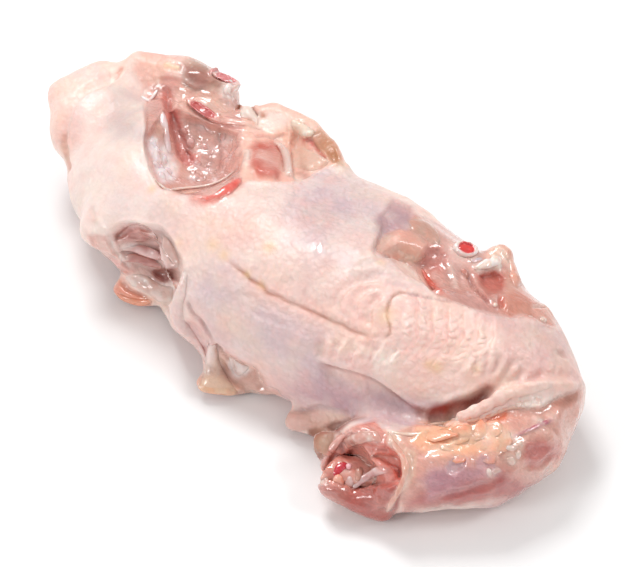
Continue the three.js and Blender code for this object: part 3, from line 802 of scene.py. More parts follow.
def sculpt_near_hip(clay):
    clay.grab(*ORANGE_TIP, 9)
    clay.settle()
    clay.ledge(NEAR_RIM, 3.2, 0.8, 12)
    clay.sink(NEAR_ROOF, 3.0, 5)
    clay.sink(NEAR_DEEP, 4.5, 7)
    clay.groove(ROLL_GAP, 1.1, 1.6)
    clay.groove(ROLL_PALE, 2.2, -1.4, ends=0.3)
    clay.groove(ROLL_PINK, 2.0, -1.2, ends=0.3)
    clay.groove(NEAR_DARK_LINE, 0.9, 1.9)
    clay.groove(NEAR_OUTER_LINE, 0.8, 0.9)
    clay.groove(NEAR_LOBE_EDGE, 0.9, 1.3)
    clay.groove(ORANGE_FLAP_EDGE, 1.0, 1.2)
    clay.lumps(NEAR_AREA, 4.5, 0.7, 4)


def sculpt_low_flaps(clay):
    clay.grab(*LOW_TIP, 9)
    clay.settle()
    clay.groove(FLANK_FOLD, 1.5, -1.3, ends=0.25)
    clay.groove(FLANK_FOLD_INNER, 1.1, 1.2)
    clay.sink(FLANK_SHADE, 2.5, 6)
    clay.ledge(LOW_EDGE, 2.6, 0.7, 9)
    clay.groove(LOW_RIDGE, 1.5, -1.7)
    clay.groove(LOW_DARK, 1.1, 1.5)
    clay.sink(LOW_INNER, 1.8, 6)
    clay.groove(ROLLED_EDGE_LINE, 1.0, 1.0)
    clay.sink(ROLLED_EDGE, -0.8, 5)
    clay.sink(LOW_SHADOW, 2.0, 5)


def sculpt_neck(clay):
    clay.groove(NECK_CREVICE, 2.4, 5.5, lip=0.1, ends=0.25)
    clay.groove(NECK_CREST, 2.4, -2.6, ends=0.2)
    for wrinkle in NECK_WRINKLES:
        clay.groove(wrinkle, 1.5, 0.9, lip=0.6, ends=0.35)
    clay.ledge(NECK_SKIN_EDGE, 1.3, 0.7, 7)
    clay.groove(ORANGE_STREAK, 1.3, 1.3)
    clay.groove(NECK_VEIN, 0.7, -0.5)
    clay.sink(WINDOW_LEFT, 1.2, 4)
    clay.sink(WINDOW_RIGHT, 1.0, 4)
    for line in MUSCLE_GROOVES:
        clay.groove(line, 1.6, 0.8, lip=0.5, ends=0.3)
    for outline, size, height, soft in (
        (NECK_FAT, 5.0, 1.3, 5), (NECK_FAT, 2.4, 0.5, 5), (NECK_BARE, 8.0, 0.8, 6),
        (NECK_BARE, 3.6, 0.4, 5), (NECK_TENDON_FAT, 3.4, 0.8, 3), (NECK_CREST_AREA, 3.0, 0.5, 5),
    ):
        clay.lumps(outline, size, height, soft)


def sculpt_cut_neck(clay):
    clay.sink(CUT_HOLLOW, 4.5, 5)
    clay.sink(CUT_VOID, 4.0, 5)
    clay.groove(CUT_LIP, 1.2, -1.4, ends=0.1)
    clay.sink(CUT_MUSCLE, -1.0, 6)
    clay.groove(CUT_LEFT_LIP, 1.3, -1.0)
    for line in CUT_TOP_GROOVES:
        clay.groove(line, 0.9, 0.9, lip=0.5, ends=0.3)
    clay.lumps(CUT_AREA, 5.0, 0.8, 4)
    clay.lumps(CUT_AREA, 2.4, 0.45, 4)


SEAT_DEPTH = 2.5  # mm that the flesh lies below a sawn end
SEAT_REACH = 8  # mm down that flesh is lowered at all
CUT_BAND = 1.0  # mm from a bone's highest corner that still counts as its sawn end
SAWN_BONES = {  # colours, direction in the photo, stretch, and mm that the end stands over its node
    "shoulder_bone": {"rim": "#f8e4de", "marrow": "#e5302a", "core": "#bb1630", "rise": 0.5,
                      "heading": (1, 0), "along": 1.0, "across": 0.85},
    "hip_bone": {"rim": "#e9afa4", "marrow": "#d0625e", "core": "#bc4646", "rise": 0.1,
                 "heading": (29, 19), "along": 1.25, "across": 0.55},
    "pelvis_bone": {"rim": "#efc9c2", "marrow": "#df8080", "core": "#d26c70", "rise": -0.9,
                    "heading": (17, 7), "along": 1.0, "across": 0.6},
}


def squeezed(co, centre, heading, along, across):
    """Stretches points along a heading in the photo's plane, and across it."""
    heading = np.array(heading, float) / np.hypot(*heading)
    lengthwise = VIEW_RIGHT * heading[0] - VIEW_UP * heading[1]
    sideways = np.cross(VIEW_BACK, lengthwise)
    offset = co - centre
    change = (along - 1) * np.outer(offset @ lengthwise, lengthwise)
    return co + change + (across - 1) * np.outer(offset @ sideways, sideways)


def bone_end(node):
    """The middle of a bone node's sawn end, the bone's direction and its radius there (mm)."""
    corners = np.array([vertex.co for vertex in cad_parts[node].data.vertices]) / MM
    axis = np.linalg.svd(corners - corners.mean(0), full_matrices=False)[2][0]
    axis *= np.sign(axis[2])
    height = corners @ axis
    rim = corners[height > height.max() - CUT_BAND]
    top = (rim.min(0) + rim.max(0)) / 2
    top += axis * (height.max() - top @ axis)
    return top, axis, np.linalg.norm(rim - top, axis=1).max()


def sculpt_bone_seats(clay):
    """Lowers the flesh where the bones' sawn ends fill it."""
    for node, end in SAWN_BONES.items():
        top, axis, radius = bone_end(node)
        offset = squeezed(clay.co, top, end["heading"], 1 / end["along"], 1 / end["across"]) - top
        height = offset @ axis
        out = np.linalg.norm(offset - np.outer(height, axis), axis=1)
        inner = fade((radius - out) / 1.0 + 0.3) * (height > -SEAT_REACH)
        clay.co -= axis * (inner * np.clip(height + SEAT_DEPTH, 0, None))[:, None]


def sculpt_skin(clay):
    """The slack, faintly rumpled surface of the whole piece."""
    clay.co += clay.normal * (0.6 * grain(clay.co, 16, 1) + 0.34 * grain(clay.co, 7, 2))[:, None]
    along = clay.co * np.array([0.45, 1.0, 1.0])
    clay.co += clay.normal * (0.22 * grain(along, 3.4, 3))[:, None]
    folds = np.exp(-(grain(along, 15, 6) / 0.16) ** 2)
    clay.co -= clay.normal * (0.7 * folds * (1 - clay.seen))[:, None]


# ---- colours, region by region


def paint_hidden_sides(clay):
    """Cut meat round the foot, and the ribs' red walls underneath."""
    low = fade((9 - clay.co[:, 2]) / 6)
    down = fade((-clay.normal[:, 2] - 0.15) / 0.35)
    inner = fade(1 - np.abs(clay.co - SPINE_MARK)[:, 1] / 60) * down
    ribs = 0.5 + 0.5 * np.cos((clay.co[:, 0] - CAVITY_MIDDLE) / RIB_SPACING * 2 * math.pi + math.pi)
    clay.dye(low * (1 - clay.seen), "#d59f94", 0.7)
    clay.dye(down, "#c98a7e", 0.85)
    clay.dye(inner * ribs, "#e2b9ab", 0.6)
    clay.dye(inner * (1 - ribs), "#a8564f", 0.5)
    clay.mark("meat", np.maximum(down, low * (1 - clay.seen)))
    clay.mark("wet", down, 0.8)


HOLLOWS = (((200, 150), 36), ((460, 272), 30), ((146, 258), 26), ((372, 466), 16))  # pixel, reach in mm


def paint_turned_walls(clay):
    """Cut meat on the walls of the hollows that face away from the photo's view."""
    for pixel, reach in HOLLOWS:
        middle = clay.pick(*pixel)[0] + VIEW_BACK * 4
        toward = middle - clay.co
        far = np.linalg.norm(toward, axis=1)
        facing = (clay.normal * toward).sum(1) / far
        amount = fade((reach - far) / 6) * fade((facing - 0.1) / 0.3) * (1 - clay.seen)
        clay.dye(amount, "#d39a8d")
        clay.mark("meat", amount)
        clay.mark("wet", amount)


def paint_back(clay):
    spot = clay.spot
    clay.dye(clay.seen, "#f5dcd3")
    clay.masks["pores"][:] = 0.8
    spot(SADDLE_AREA, "#ebcfc6", 30)
    spot(LAVENDER_AREA, "#cdb1b6", 84, 0.95)
    spot(MID_AREA, "#ebc9bf", 34, 0.9)
    spot(FLANK_AREA, "#dec4c6", 38)
    spot(FLANK_LOW, "#c8a6ae", 30)
    spot(FOLLICLE_AREA, "#fbd4ca", 26)
    spot(NECK_SKIN, "#dfbab5", 26)
    clay.mark("beads", clay.cover(BEAD_AREA, 20))
    clay.mark("beads", clay.cover(ROLL_BEADS, 12), 0.6)
    spot(TAIL_AREA, "#fbdcd2", 10)
    spot(FLAP_AREA, "#f5dfd7", 16, pores=0.3)
    spot(FLAP_GREY, "#d4bdb9", 40, 0.95)
    clay.stroke(TAIL_SHADE, 2.2, "#c98f7a", 0.8)
    # painted shadow: reddish strokes darken the pleats' folds
    clay.stroke(TAIL_PLEAT_INNER, 1.2, "#dd9384", 0.8)
    clay.stroke(TAIL_PLEAT_OUTER, 1.2, "#e6a596", 0.7)
    clay.stroke(FLAP_LOW_CREASE, 2.0, "#dcc0b4", 0.5)
    clay.stroke(SPINE_CREASE, 3.6, "#efc2b4", 0.55)
    clay.stroke(SPINE_CREASE, 0.75, "#a85a38", 0.85, ends=0.2)
    clay.stroke(SPINE_CREASE_TURN, 0.8, "#b47a60", 0.7)
    clay.stroke(SHOULDER_CREASE, 0.7, "#a98080", 0.6)
    for line, depth in ((ARC_OUTER, 0.3), (ARC_MIDDLE, 0.3), (ARC_INNER, 0.45)):
        clay.stroke(line, 0.8, "#cf9a84", depth)
    for crease in ROLL_CREASES:
        clay.stroke(crease, 0.8, "#d8aaa0", 0.35, ends=0.35)
    for roll in ROLLS:
        clay.stroke([roll], 5.0, "#ffeae2", 0.9)
    for fold in SIDE_FOLDS:
        clay.stroke(fold, 1.0, "#dcb6ac", 0.4, ends=0.4)
    # painted shadow: a dark line where the body overhangs the flank
    clay.stroke(OVERHANG, 0.9, "#a0706e", 0.75, ends=0.1)
    for line in FLANK_LINES:
        clay.stroke(line, 1.0, "#cda2a6", 0.12, ends=0.4)
    for line in BACK_LINES:
        clay.stroke(line, 1.4, "#ccaab0", 0.3, ends=0.4)
    for u, v, size in FAT_SPOTS:
        clay.stroke([(u, v)], size, "#f0c68a", 0.5)
    clay.stroke([FLANK_GLINT], 4, wet=1)
    clay.stroke([BACK_GLINT], 3.0, wet=1)


def mottle(clay):
    """Raw poultry isn't one colour: pink, cream and bluish patches run through skin and meat."""
    strength = 1 - 0.55 * clay.masks["meat"]
    for size, seed, colour, share in (
        (19, 31, "#f3bbae", 0.34), (15, 32, "#fbe9da", 0.3), (17, 33, "#cdb6be", 0.17),
        (8, 34, "#efb0a3", 0.2), (6, 35, "#fcebdc", 0.16), (3.2, 36, "#eeb0a2", 0.1),
        (9, 38, "#f0cda0", 0.12),
    ):
        clay.dye(fade(1.3 * grain(clay.co, size, seed)), colour, share * strength)


def paint_follicles(clay):
    for column in range(1, FOLLICLE_COLUMNS):
        clay.stroke(column_line(column), 0.9, "#dfa89b", 0.5)


def paint_pit(clay):
    spot = clay.spot
    spot(RIM_FAT, "#f0bfb0", 14)
    spot(PIT_AREA, "#d9a196", 5, meat=1, wet=1)
    spot(GLOSS_MEAT, "#d9a498", 10, meat=1, wet=1)
    spot(PIT_FOLD_MEAT, "#e3ac9f", 8, meat=1, wet=1)
    spot(UPPER_WALL, "#e2ae9e", 8, meat=1, wet=1)
    spot(GREY_MEMBRANE, "#a46c5e", 18, wet=0.7)
    spot(DEEP_AREA, "#d26258", 8, 0.85, meat=1, wet=1)
    # painted highlight: the wet corner is painted near-white where it shines
    spot(WET_HIGHLIGHT_CORNER, "#fff4f6", 9, 0.95, meat=0, wet=1)
    # painted shade: a dark line along the foot of the grey knob
    clay.stroke(GREY_KNOB_EDGE, 0.9, "#a58474", 0.7)
    clay.stroke(RIM_STREAK, 1.5, "#f7e3b8", 0.7)
    clay.stroke(RIM_RED, 2.6, "#e59a8a", 0.7)
    clay.stroke(PINK_TIP, 2.6, "#dd7f8c", 0.9, wet=1)
    clay.stroke(WHITE_END, 2.6, "#f1dbd6", 0.9)
    clay.stroke(MEAT_SLOT, 2.6, "#cc6454", 0.85, meat=1)
    clay.stroke(SILVER_LEFT_MEAT, 2.0, "#d59a86", 0.7)
    clay.stroke(DEEP_LINE, 1.5, "#a64841", 0.7, meat=1)
    clay.stroke(PIT_FOLD, 1.0, "#ac6e62", 0.7)
    clay.stroke(PINK_BAND, 2.0, "#f0b5a6", 0.8)
    clay.stroke(PINK_BAND_LOW, 1.0, "#d5796c", 0.6)
    clay.stroke(PIT_SKIN_LINE_LOW, 1.6, "#e2ab9b", 0.7)
    clay.stroke(RED_CRESCENT, 3.0, "#f3a294", 0.9, meat=1, wet=1)
    clay.stroke(RED_CRESCENT_HOT, 2.0, "#ec5a4a", 0.9, meat=1, wet=1)
    for place in PIT_GLINTS:
        clay.stroke([place], 2.0, "#f2dfe2", 0.5, wet=1)


def paint_far_flaps(clay):
    spot = clay.spot
    spot(FAR_FLAP_AREA, "#f5c4b2", 6, meat=0.2, wet=0.15)
    spot(FLAP_WHITISH, "#fbe8dd", 8, 0.9)
    spot(ORANGE_WALL, "#be825e", 7, wet=0.2)
    spot(PALE_BAND, "#eccab9", 6)
    spot(LOBE_AREA, "#c85c4a", 10, meat=0.4, wet=0.3)
    # painted shade: a dark stroke in the slit
    clay.stroke(FLAP_SLIT, 1.2, "#8e5238", 0.9)
    clay.stroke([FLAP_POCKET], 1.8, "#d7936f", 0.8)
    clay.stroke(FLAP_FOLD, 1.0, "#c98f80", 0.7)
    clay.stroke(LOBE_RIM, 1.3, "#f3d8d4", 0.9, meat=0, wet=1)
    clay.stroke(LOBE_RIM_INNER, 1.0, "#d36c57", 0.8)
    clay.stroke(LOBE_TOP_LINE, 1.0, "#d2a49a", 0.6)
    clay.stroke(LOBE_FAT, 2.0, "#f8dccf", 0.8, wet=0.6)
    clay.stroke(CREAM_FOLD, 1.8, "#fcebd9", 0.9)
    clay.stroke(CREAM_FOLD_LOW, 0.9, "#d89c86", 0.8)
    clay.stroke(RED_NOTCH, 1.3, "#cf7066", 0.8)
    clay.stroke(ORANGE_WALL_EDGE, 0.8, "#c75a4a", 0.8)
    clay.stroke(FLAP_DARK, 1.8, "#c58f80", 0.8)


def paint_shoulder(clay):
    spot = clay.spot
    spot(SHOULDER_AREA, "#d8988a", 5, meat=1, wet=1)
    spot(LAVENDER_GAP, "#bf9a9e", 9, meat=0, wet=0.3)
    spot(LENS_BACK, "#cb907c", 4, meat=0.3, wet=0.7)
    spot(LENS_FRONT, "#e6a896", 4, meat=0.2, wet=0.3)
    spot(RED_MEAT, "#cf7c70", 8, meat=1, wet=1)
    spot(MARBLE_MEAT, "#cf9285", 7, meat=1, wet=1)
    spot(PINK_MEAT, "#d08570", 9, meat=0.6, wet=0.5)
    spot(HOT_HOLLOW, "#b4341a", 8, meat=1, wet=0)
    spot(KNOB_AREA, "#f2c0ae", 6, meat=0, wet=0.6)
    spot(SMALL_FLAP, "#e0a08e", 5, wet=0.6)
    clay.stroke(RED_RIDGE, 1.8, "#e0614c", 0.9, wet=1)
    clay.stroke(RED_RIDGE_EDGE, 0.9, "#e9a898", 0.6)
    clay.stroke(PALE_STREAK, 1.6, "#e6c2b6", 0.8)
    # painted shade: a dark red-brown stroke down the crevice
    clay.stroke(DARK_CREVICE, 1.2, "#a1493c", 0.85)
    clay.stroke(CARTILAGE_BAR, 2.0, "#fdeee0", 0.95, meat=0, wet=1)
    clay.stroke([PALE_KNOB], 3.6, "#f9d6c2", 0.8)
    clay.stroke(HOT_SPOT, 1.5, "#d55a40", 0.85)
    clay.stroke(SMALL_FLAP_EDGE, 1.2, "#eec2b4", 0.8)
    clay.stroke([SMALL_FLAP_KNOB], 1.9, "#f0c8ba", 0.8)
    clay.stroke([BONE_SEAT], 7.5, "#f5dcd4", 0.85, meat=0)


def paint_near_hip(clay):
    spot = clay.spot
    spot(NEAR_AREA, "#d6aea6", 5, meat=0.6, wet=1)
    spot(NEAR_ROOF, "#be7468", 7, meat=1)
    spot(NEAR_LOBE, "#d89a8e", 6, meat=0)
    spot(LOWER_FLAP, "#f4d0c6", 6, meat=0, wet=0.6)
    spot(ORANGE_FLAP, "#f08e68", 8, wet=0.6)
    # painted shade: the deep hollow is darkened
    spot(NEAR_DEEP, "#a05f59", 8, meat=1)
    clay.stroke(ROLL_PALE, 2.0, "#e0c9c6", 0.85)
    clay.stroke(ROLL_PINK, 1.8, "#dba79e", 0.8)
    # painted shade: dark strokes in the gap between the rolls and down the hollow's crevice
    clay.stroke(ROLL_GAP, 1.0, "#b07a76", 0.8)
    clay.stroke(NEAR_DARK_LINE, 0.9, "#8a5650", 0.85)
    clay.stroke(NEAR_OUTER_LINE, 0.8, "#b08a82", 0.7)
    clay.stroke(NEAR_LOBE_EDGE, 1.0, "#f3dcd4", 0.8)
    # painted shadow: a dark stroke between the lower flap and the orange flap
    clay.stroke(ORANGE_FLAP_EDGE, 1.0, "#b5674a", 0.7)
    clay.stroke(NEAR_TISSUE, 1.5, "#f7e9e2", 0.8, wet=1)


def paint_low_flaps(clay):
    spot = clay.spot
    spot(LOW_AREA, "#dfae9f", 5, meat=0.3, wet=0.8)
    spot(LOW_INNER, "#cfa090", 6, wet=0.8)
    spot(LOW_ORANGE, "#ffc8aa", 8)
    spot(FLANK_SHADE, "#dcb4b0", 8, 0.9)
    spot(FLANK_PINK, "#edcac2", 7)
    spot(ROLLED_EDGE, "#dcb2a6", 6)
    spot(LOW_SHADOW, "#8f443c", 6)
    spot(LOW_NUB, "#9c6450", 5)
    clay.stroke(FLANK_FOLD, 1.6, "#ecd6d2", 0.7)
    # painted shade: a dark stroke down the shaded valley inside the flank's fold
    clay.stroke(FLANK_FOLD_INNER, 1.0, "#a98480", 0.7)
    clay.stroke(LOW_RIDGE, 2.8, "#ffdcd6", 0.85, ends=0.35)
    # painted shade: a dark stroke along the flap's inner edge
    clay.stroke(LOW_DARK, 1.1, "#9f5a4c", 0.85)
    clay.stroke(WHITE_BIT, 1.6, "#eedfdc", 0.9)
    clay.stroke(ROLLED_EDGE_LINE, 0.9, "#b78a8c", 0.7)


def paint_neck(clay):
    spot = clay.spot
    spot(NECK_BARE, "#dfa292", 6, meat=0.7, wet=1)
    spot(NECK_LOW, "#b6544e", 20, meat=1, wet=1)
    spot(NECK_PURPLE, "#c390a0", 18, 0.7)
    spot(NECK_FAT, "#ffb993", 12, meat=0, wet=1)
    spot(NECK_TENDON_FAT, "#edbfa8", 6, meat=0, wet=1)
    spot(NECK_RED_PATCH, "#ca6e64", 12, meat=1)
    spot(NECK_DARK_PATCH, "#c07c66", 8)
    # painted shade: the crevice under the body's bulge is darkened to deep red-brown, darkest along its
    # line
    spot(NECK_CREVICE_SHADE, "#8c2616", 11, wet=0, pores=0)
    clay.stroke(NECK_CREVICE, 2.4, "#701a0e", 0.95, ends=0.2)
    clay.stroke(NECK_CREST, 3.2, "#fcdcd0", 0.8)
    for wrinkle in NECK_WRINKLES:
        clay.stroke(wrinkle, 1.1, "#c08c80", 0.4, ends=0.35)
    spot(ORANGE_PATCH, "#e07044", 5)
    clay.stroke(NECK_VEIN, 0.9, "#b8607a", 0.8)
    spot(WINDOW_LEFT, "#dab2b8", 5, wet=1)
    spot(WINDOW_RIGHT, "#d6a4aa", 5, 0.8, wet=1)
    for place in NECK_GLINTS:
        clay.stroke([place], 2.4, "#fbdfd2", 0.5, wet=1)


def paint_cut_neck(clay):
    spot = clay.spot
    spot(CUT_AREA, "#de7c6c", 4, meat=1, wet=1)
    spot(CUT_TOP, "#de8e80", 6, meat=1, wet=1)
    spot(CUT_HOLLOW, "#dd7060", 6, meat=1, wet=1)
    spot(CUT_VOID, "#ee8070", 6, meat=1, wet=1)
    spot(CUT_MUSCLE, "#ae3626", 5, meat=1, wet=0.9)
    clay.stroke(CUT_LIP, 1.4, "#eec9b6", 0.85, meat=0, wet=1)
    clay.stroke(CUT_LEFT_LIP, 1.8, "#eab2a6", 0.7, meat=0)
    for line in CUT_TOP_GROOVES:
        clay.stroke(line, 0.8, "#b8665e", 0.6)


# ---- small modelling helpers


def only(obj):
    """Makes one object the selected and active one."""
    bpy.ops.object.select_all(action="DESELECT")
    obj.select_set(True)
    bpy.context.view_layer.objects.active = obj


def modify(obj, kind, **settings):
    """Adds a modifier with its settings and applies it."""
    only(obj)
    modifier = obj.modifiers.new(kind.title(), kind)
    for key, value in settings.items():
        setattr(modifier, key, value)
    bpy.ops.object.modifier_apply(modifier=modifier.name)


SAME_PLACE = 0.00002  # m between vertices that are merged


def node_copy(name, node):
    """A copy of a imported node's mesh as a new piece, with its loose triangles merged."""
    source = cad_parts[node]
    obj = bpy.data.objects.new(name, source.data.copy())
    bpy.context.scene.collection.objects.link(obj)
    obj.data.materials.clear()
    only(obj)
    bpy.ops.object.mode_set(mode="EDIT")
    bpy.ops.mesh.select_all(action="SELECT")
    bpy.ops.mesh.remove_doubles(threshold=SAME_PLACE)
    bpy.ops.object.mode_set(mode="OBJECT")
    return obj


def dress(obj, material, slot, *nodes):
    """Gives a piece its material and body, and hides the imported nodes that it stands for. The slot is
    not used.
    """
    obj.data.materials.clear()
    obj.data.materials.append(material)
    only(obj)
    bpy.ops.object.shade_smooth()
    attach(obj, "root")
    if nodes:
        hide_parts(*nodes)


# ---- materials


def add(tree, kind, inputs=None, **settings):
    """Adds a node, sets its properties, and sets or links its inputs."""
    node = tree.nodes.new(kind)
    for key, value in settings.items():
        setattr(node, key, value)
    for key, value in (inputs or {}).items():
        if isinstance(value, bpy.types.NodeSocket):
            tree.links.new(value, node.inputs[key])
        else:
            node.inputs[key].default_value = value
    return node


def rgba(hex_colour):
    return (*linear(hex_colour), 1.0)


def new_material(name):
    """An empty material with its node tree and its shader."""
    material = bpy.data.materials.new(name)
    material.use_nodes = True
    tree = material.node_tree
    tree.nodes.clear()
    shader = add(tree, "ShaderNodeBsdfPrincipled")
    add(tree, "ShaderNodeOutputMaterial", {"Surface": shader.outputs[0]})
    return material, tree, shader


FLESH_MATERIAL = "raw_poultry_skin_and_cut_meat"
SWAY_SIZE = 9 * MM  # wander of the follicles' columns and rows
PEBBLE_SIZE = 2.9 * MM
FINE_SIZE = 1.4 * MM  # pores and tiny wrinkles everywhere
FIBRE_SIZE = 1.3 * MM
FIBRE_STRETCH = (0.35, 1.0, 1.0)  # the fibres run along the back
BEAD_HEIGHT = 0.5  # heights in mm
RIDGE_HEIGHT = 0.3
PEBBLE_HEIGHT = 0.36
FIBRE_HEIGHT = 0.2
FINE_HEIGHT = 0.13
RAISED_HIGHLIGHT = 0.26  # how much paler a mm of bead or pebble is: a painted highlight on their tops
SEE_THROUGH = 0.3  # share of light that goes under the surface
SEE_THROUGH_DEPTH = 3.5 * MM
SEE_THROUGH_TINT = (1.0, 0.38, 0.28)


def flesh_material():
    """Raw poultry skin over meat: skin is a moist, waxy, slightly see-through sheet of pebbles and
    feather follicles, and cut meat is darker, wetter and fibrous. The painted tint says which colour
    is where."""
    material, tree, shader = new_material(FLESH_MATERIAL)

    def value(name):
        return add(tree, "ShaderNodeAttribute", attribute_name=name).outputs["Fac"]

    def maths(operation, *inputs):
        return add(tree, "ShaderNodeMath", dict(enumerate(inputs)), operation=operation).outputs[0]

    def noise(size, source, **inputs):
        inputs = {"Vector": source, "Scale": 1 / size, **inputs}
        return add(tree, "ShaderNodeTexNoise", inputs).outputs["Fac"]

    def between(source, low, high, new_low, new_high, **settings):
        return add(tree, "ShaderNodeMapRange", {
            "Value": source, "From Min": low, "From Max": high, "To Min": new_low,
            "To Max": new_high}, **settings).outputs["Result"]

    place = add(tree, "ShaderNodeTexCoord").outputs["Object"]
    tint = add(tree, "ShaderNodeAttribute", attribute_name="tint").outputs["Color"]
    meat, wet, pores = value("meat"), value("wet"), value("pores")

    # follicles: a bead in each cell of columns and rows, and a low ridge along each column
    sway = noise(SWAY_SIZE, place, Detail=1.0)
    column = maths("ADD", value("column"), between(sway, 0.3, 0.7, -0.2, 0.2))
    stagger = add(tree, "ShaderNodeTexWhiteNoise", {"W": maths("FLOOR", column)},
                  noise_dimensions="1D").outputs["Value"]
    row = maths("ADD", value("row"), stagger)
    row = maths("ADD", row, between(sway, 0.3, 0.7, 0.5, -0.5))
    across = maths("FRACT", column)
    from_middle = add(tree, "ShaderNodeCombineXYZ", {
        0: maths("MULTIPLY", maths("SUBTRACT", across, BEAD_MIDDLE), COLUMN_STEP / FOLLICLE_STEP),
        1: maths("SUBTRACT", maths("FRACT", row), 0.5)})
    out = add(tree, "ShaderNodeVectorMath", {0: from_middle.outputs[0]},
              operation="LENGTH").outputs["Value"]
    cell = add(tree, "ShaderNodeCombineXYZ", {0: maths("FLOOR", column), 1: maths("FLOOR", row)})
    growth = add(tree, "ShaderNodeTexWhiteNoise", {"Vector": cell.outputs[0]},
                 noise_dimensions="2D").outputs["Value"]
    beads = maths("MULTIPLY", between(out, 0.12, 0.72, 1.0, 0.0, interpolation_type="SMOOTHSTEP"),
                  between(growth, 0, 1, 0.55, 1.0))
    ridge = maths("MULTIPLY", between(across, 0, 0.14, 0, 1), between(across, 0.3, 1.0, 1, 0))
    pebbles = add(tree, "ShaderNodeTexVoronoi", {
        "Vector": place, "Scale": 1 / PEBBLE_SIZE, "Smoothness": 0.4},
        feature="SMOOTH_F1").outputs["Distance"]
    fine = noise(FINE_SIZE, place, Detail=3.0)
    stretched = add(tree, "ShaderNodeMapping", {"Vector": place, "Scale": FIBRE_STRETCH})
    fibres = noise(FIBRE_SIZE, stretched.outputs[0], Detail=3.0, Distortion=0.6)

    # height in mm: beads and pebbles on skin, fibres in meat
    follicle = maths("ADD", maths("MULTIPLY", beads, BEAD_HEIGHT), maths("MULTIPLY", ridge, RIDGE_HEIGHT))
    bead_relief = maths("MULTIPLY", follicle, value("beads"))
    pebble_relief = maths("MULTIPLY", between(pebbles, 0.1, 0.7, PEBBLE_HEIGHT, 0.0), pores)
    fibre_relief = maths("MULTIPLY", between(fibres, 0.3, 0.7, 0.0, FIBRE_HEIGHT), meat)
    relief = maths("ADD", maths("ADD", bead_relief, pebble_relief),
                   maths("ADD", fibre_relief, between(fine, 0.3, 0.7, 0.0, FINE_HEIGHT)))
    bump = add(tree, "ShaderNodeBump", {"Strength": 1.0, "Distance": 1 * MM, "Height": relief})
    tree.links.new(bump.outputs[0], shader.inputs["Normal"])

    # colour: pebbles and beads are paler on top, a painted highlight, and the meat is marbled along its
    # fibres
    light = maths("ADD", maths("MULTIPLY", bead_relief, RAISED_HIGHLIGHT),
                  maths("MULTIPLY", pebble_relief, RAISED_HIGHLIGHT))
    light = maths("ADD", light, maths("MULTIPLY", between(fibres, 0.35, 0.65, -0.07, 0.1), meat))
    light = maths("ADD", light, between(fine, 0.3, 0.7, 0.92, 0.98))
    shaded = add(tree, "ShaderNodeVectorMath", {0: tint, "Scale": light}, operation="SCALE")
    tree.links.new(shaded.outputs[0], shader.inputs["Base Color"])
    tree.links.new(between(wet, 0, 1, 0.4, 0.24), shader.inputs["Roughness"])
    tree.links.new(maths("ADD", maths("MULTIPLY", wet, 0.9), 0.06), shader.inputs["Coat Weight"])
    shader.inputs["Coat Roughness"].default_value = 0.06
    shader.inputs["Coat IOR"].default_value = 1.7
    shader.inputs["Subsurface Weight"].default_value = SEE_THROUGH
    shader.inputs["Subsurface Radius"].default_value = SEE_THROUGH_TINT
    shader.inputs["Subsurface Scale"].default_value = SEE_THROUGH_DEPTH
    return material


# ---- the flesh

HIDDEN_SHARE = 0.25  # faces kept where the piece lies on the table
HIDDEN_TURN = 0.15  # facing away from the photo's eye beyond which a face is hidden
TABLE_BAND = 1.5  # mm above the table that is hidden too


def thin_hidden_side(flesh):
    """Leaves fewer faces underneath, so that the side that shows can have more."""
    group = flesh.vertex_groups.new(name="underneath")
    clay = Clay(flesh)
    away = -(clay.normal @ VIEW_BACK)
    hidden = np.flatnonzero((away > HIDDEN_TURN) | (clay.co[:, 2] < TABLE_BAND))
    group.add(hidden.tolist(), 1.0, "REPLACE")
    modify(flesh, "DECIMATE", ratio=1 - (1 - HIDDEN_SHARE) * len(hidden) / len(clay.co),
           vertex_group=group.name)
    flesh.vertex_groups.clear()


class TurkeyFleshSettings(bpy.types.PropertyGroup):
    grain_size: bpy.props.FloatProperty(
        name="Surface Grain", description="Size of the flesh's faces", default=1.0 * MM,
        min=0.5 * MM, unit="LENGTH")


class MESH_OT_turkey_flesh(bpy.types.Operator):
    """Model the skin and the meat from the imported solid"""

    bl_idname = "mesh.turkey_flesh"
    bl_label = "Turkey Flesh"

    def execute(self, context):
        size = context.scene.turkey_flesh.grain_size
        flesh = node_copy("skin_and_meat", "back")
        fillings = [node_copy("filling", node) for node in SAWN_BONES]
        only(flesh)
        for filling in fillings:
            filling.select_set(True)
        bpy.ops.object.join()
        modify(flesh, "REMESH", mode="VOXEL", voxel_size=size)
        thin_hidden_side(flesh)
        modify(flesh, "SMOOTH", factor=0.5, iterations=16)
        clay = Clay(flesh)
        clay.see()
        sculpt_skin(clay)
        clay.settle()
        for sculpt in (sculpt_tail, sculpt_pit, sculpt_far_flaps, sculpt_shoulder, sculpt_back,
                       sculpt_follicles, sculpt_near_hip, sculpt_low_flaps, sculpt_neck,
                       sculpt_cut_neck, sculpt_bone_seats):
            sculpt(clay)
        clay.settle()
        clay.see()
        for paint in (paint_hidden_sides, paint_back, paint_turned_walls, paint_follicles, paint_pit,
                      paint_far_flaps, paint_shoulder, paint_near_hip, paint_low_flaps, paint_neck,
                      paint_cut_neck, mottle, number_scales):
            paint(clay)
        clay.finish()
        dress(flesh, flesh_material(), "skin", "back")
        FLESH["clay"] = clay
        return {"FINISHED"}


# ---- pieces that lie on the flesh


FLESH = {}  # the finished flesh as clay, once it is modelled
CORD_SIDES = 12
CORD_EMBED = 0.35  # mm that a cord is pressed into the flesh
FILM_ROWS = 22
FILM_THICKNESS = 0.5
FILM_EMBED = 0.5  # mm that a film's edge is pressed into the flesh


def surface():
    """The finished flesh, on which the other pieces are laid."""
    if "clay" not in FLESH:
        raise RuntimeError("the flesh has to be modelled before the pieces that lie on it")
    return FLESH["clay"]


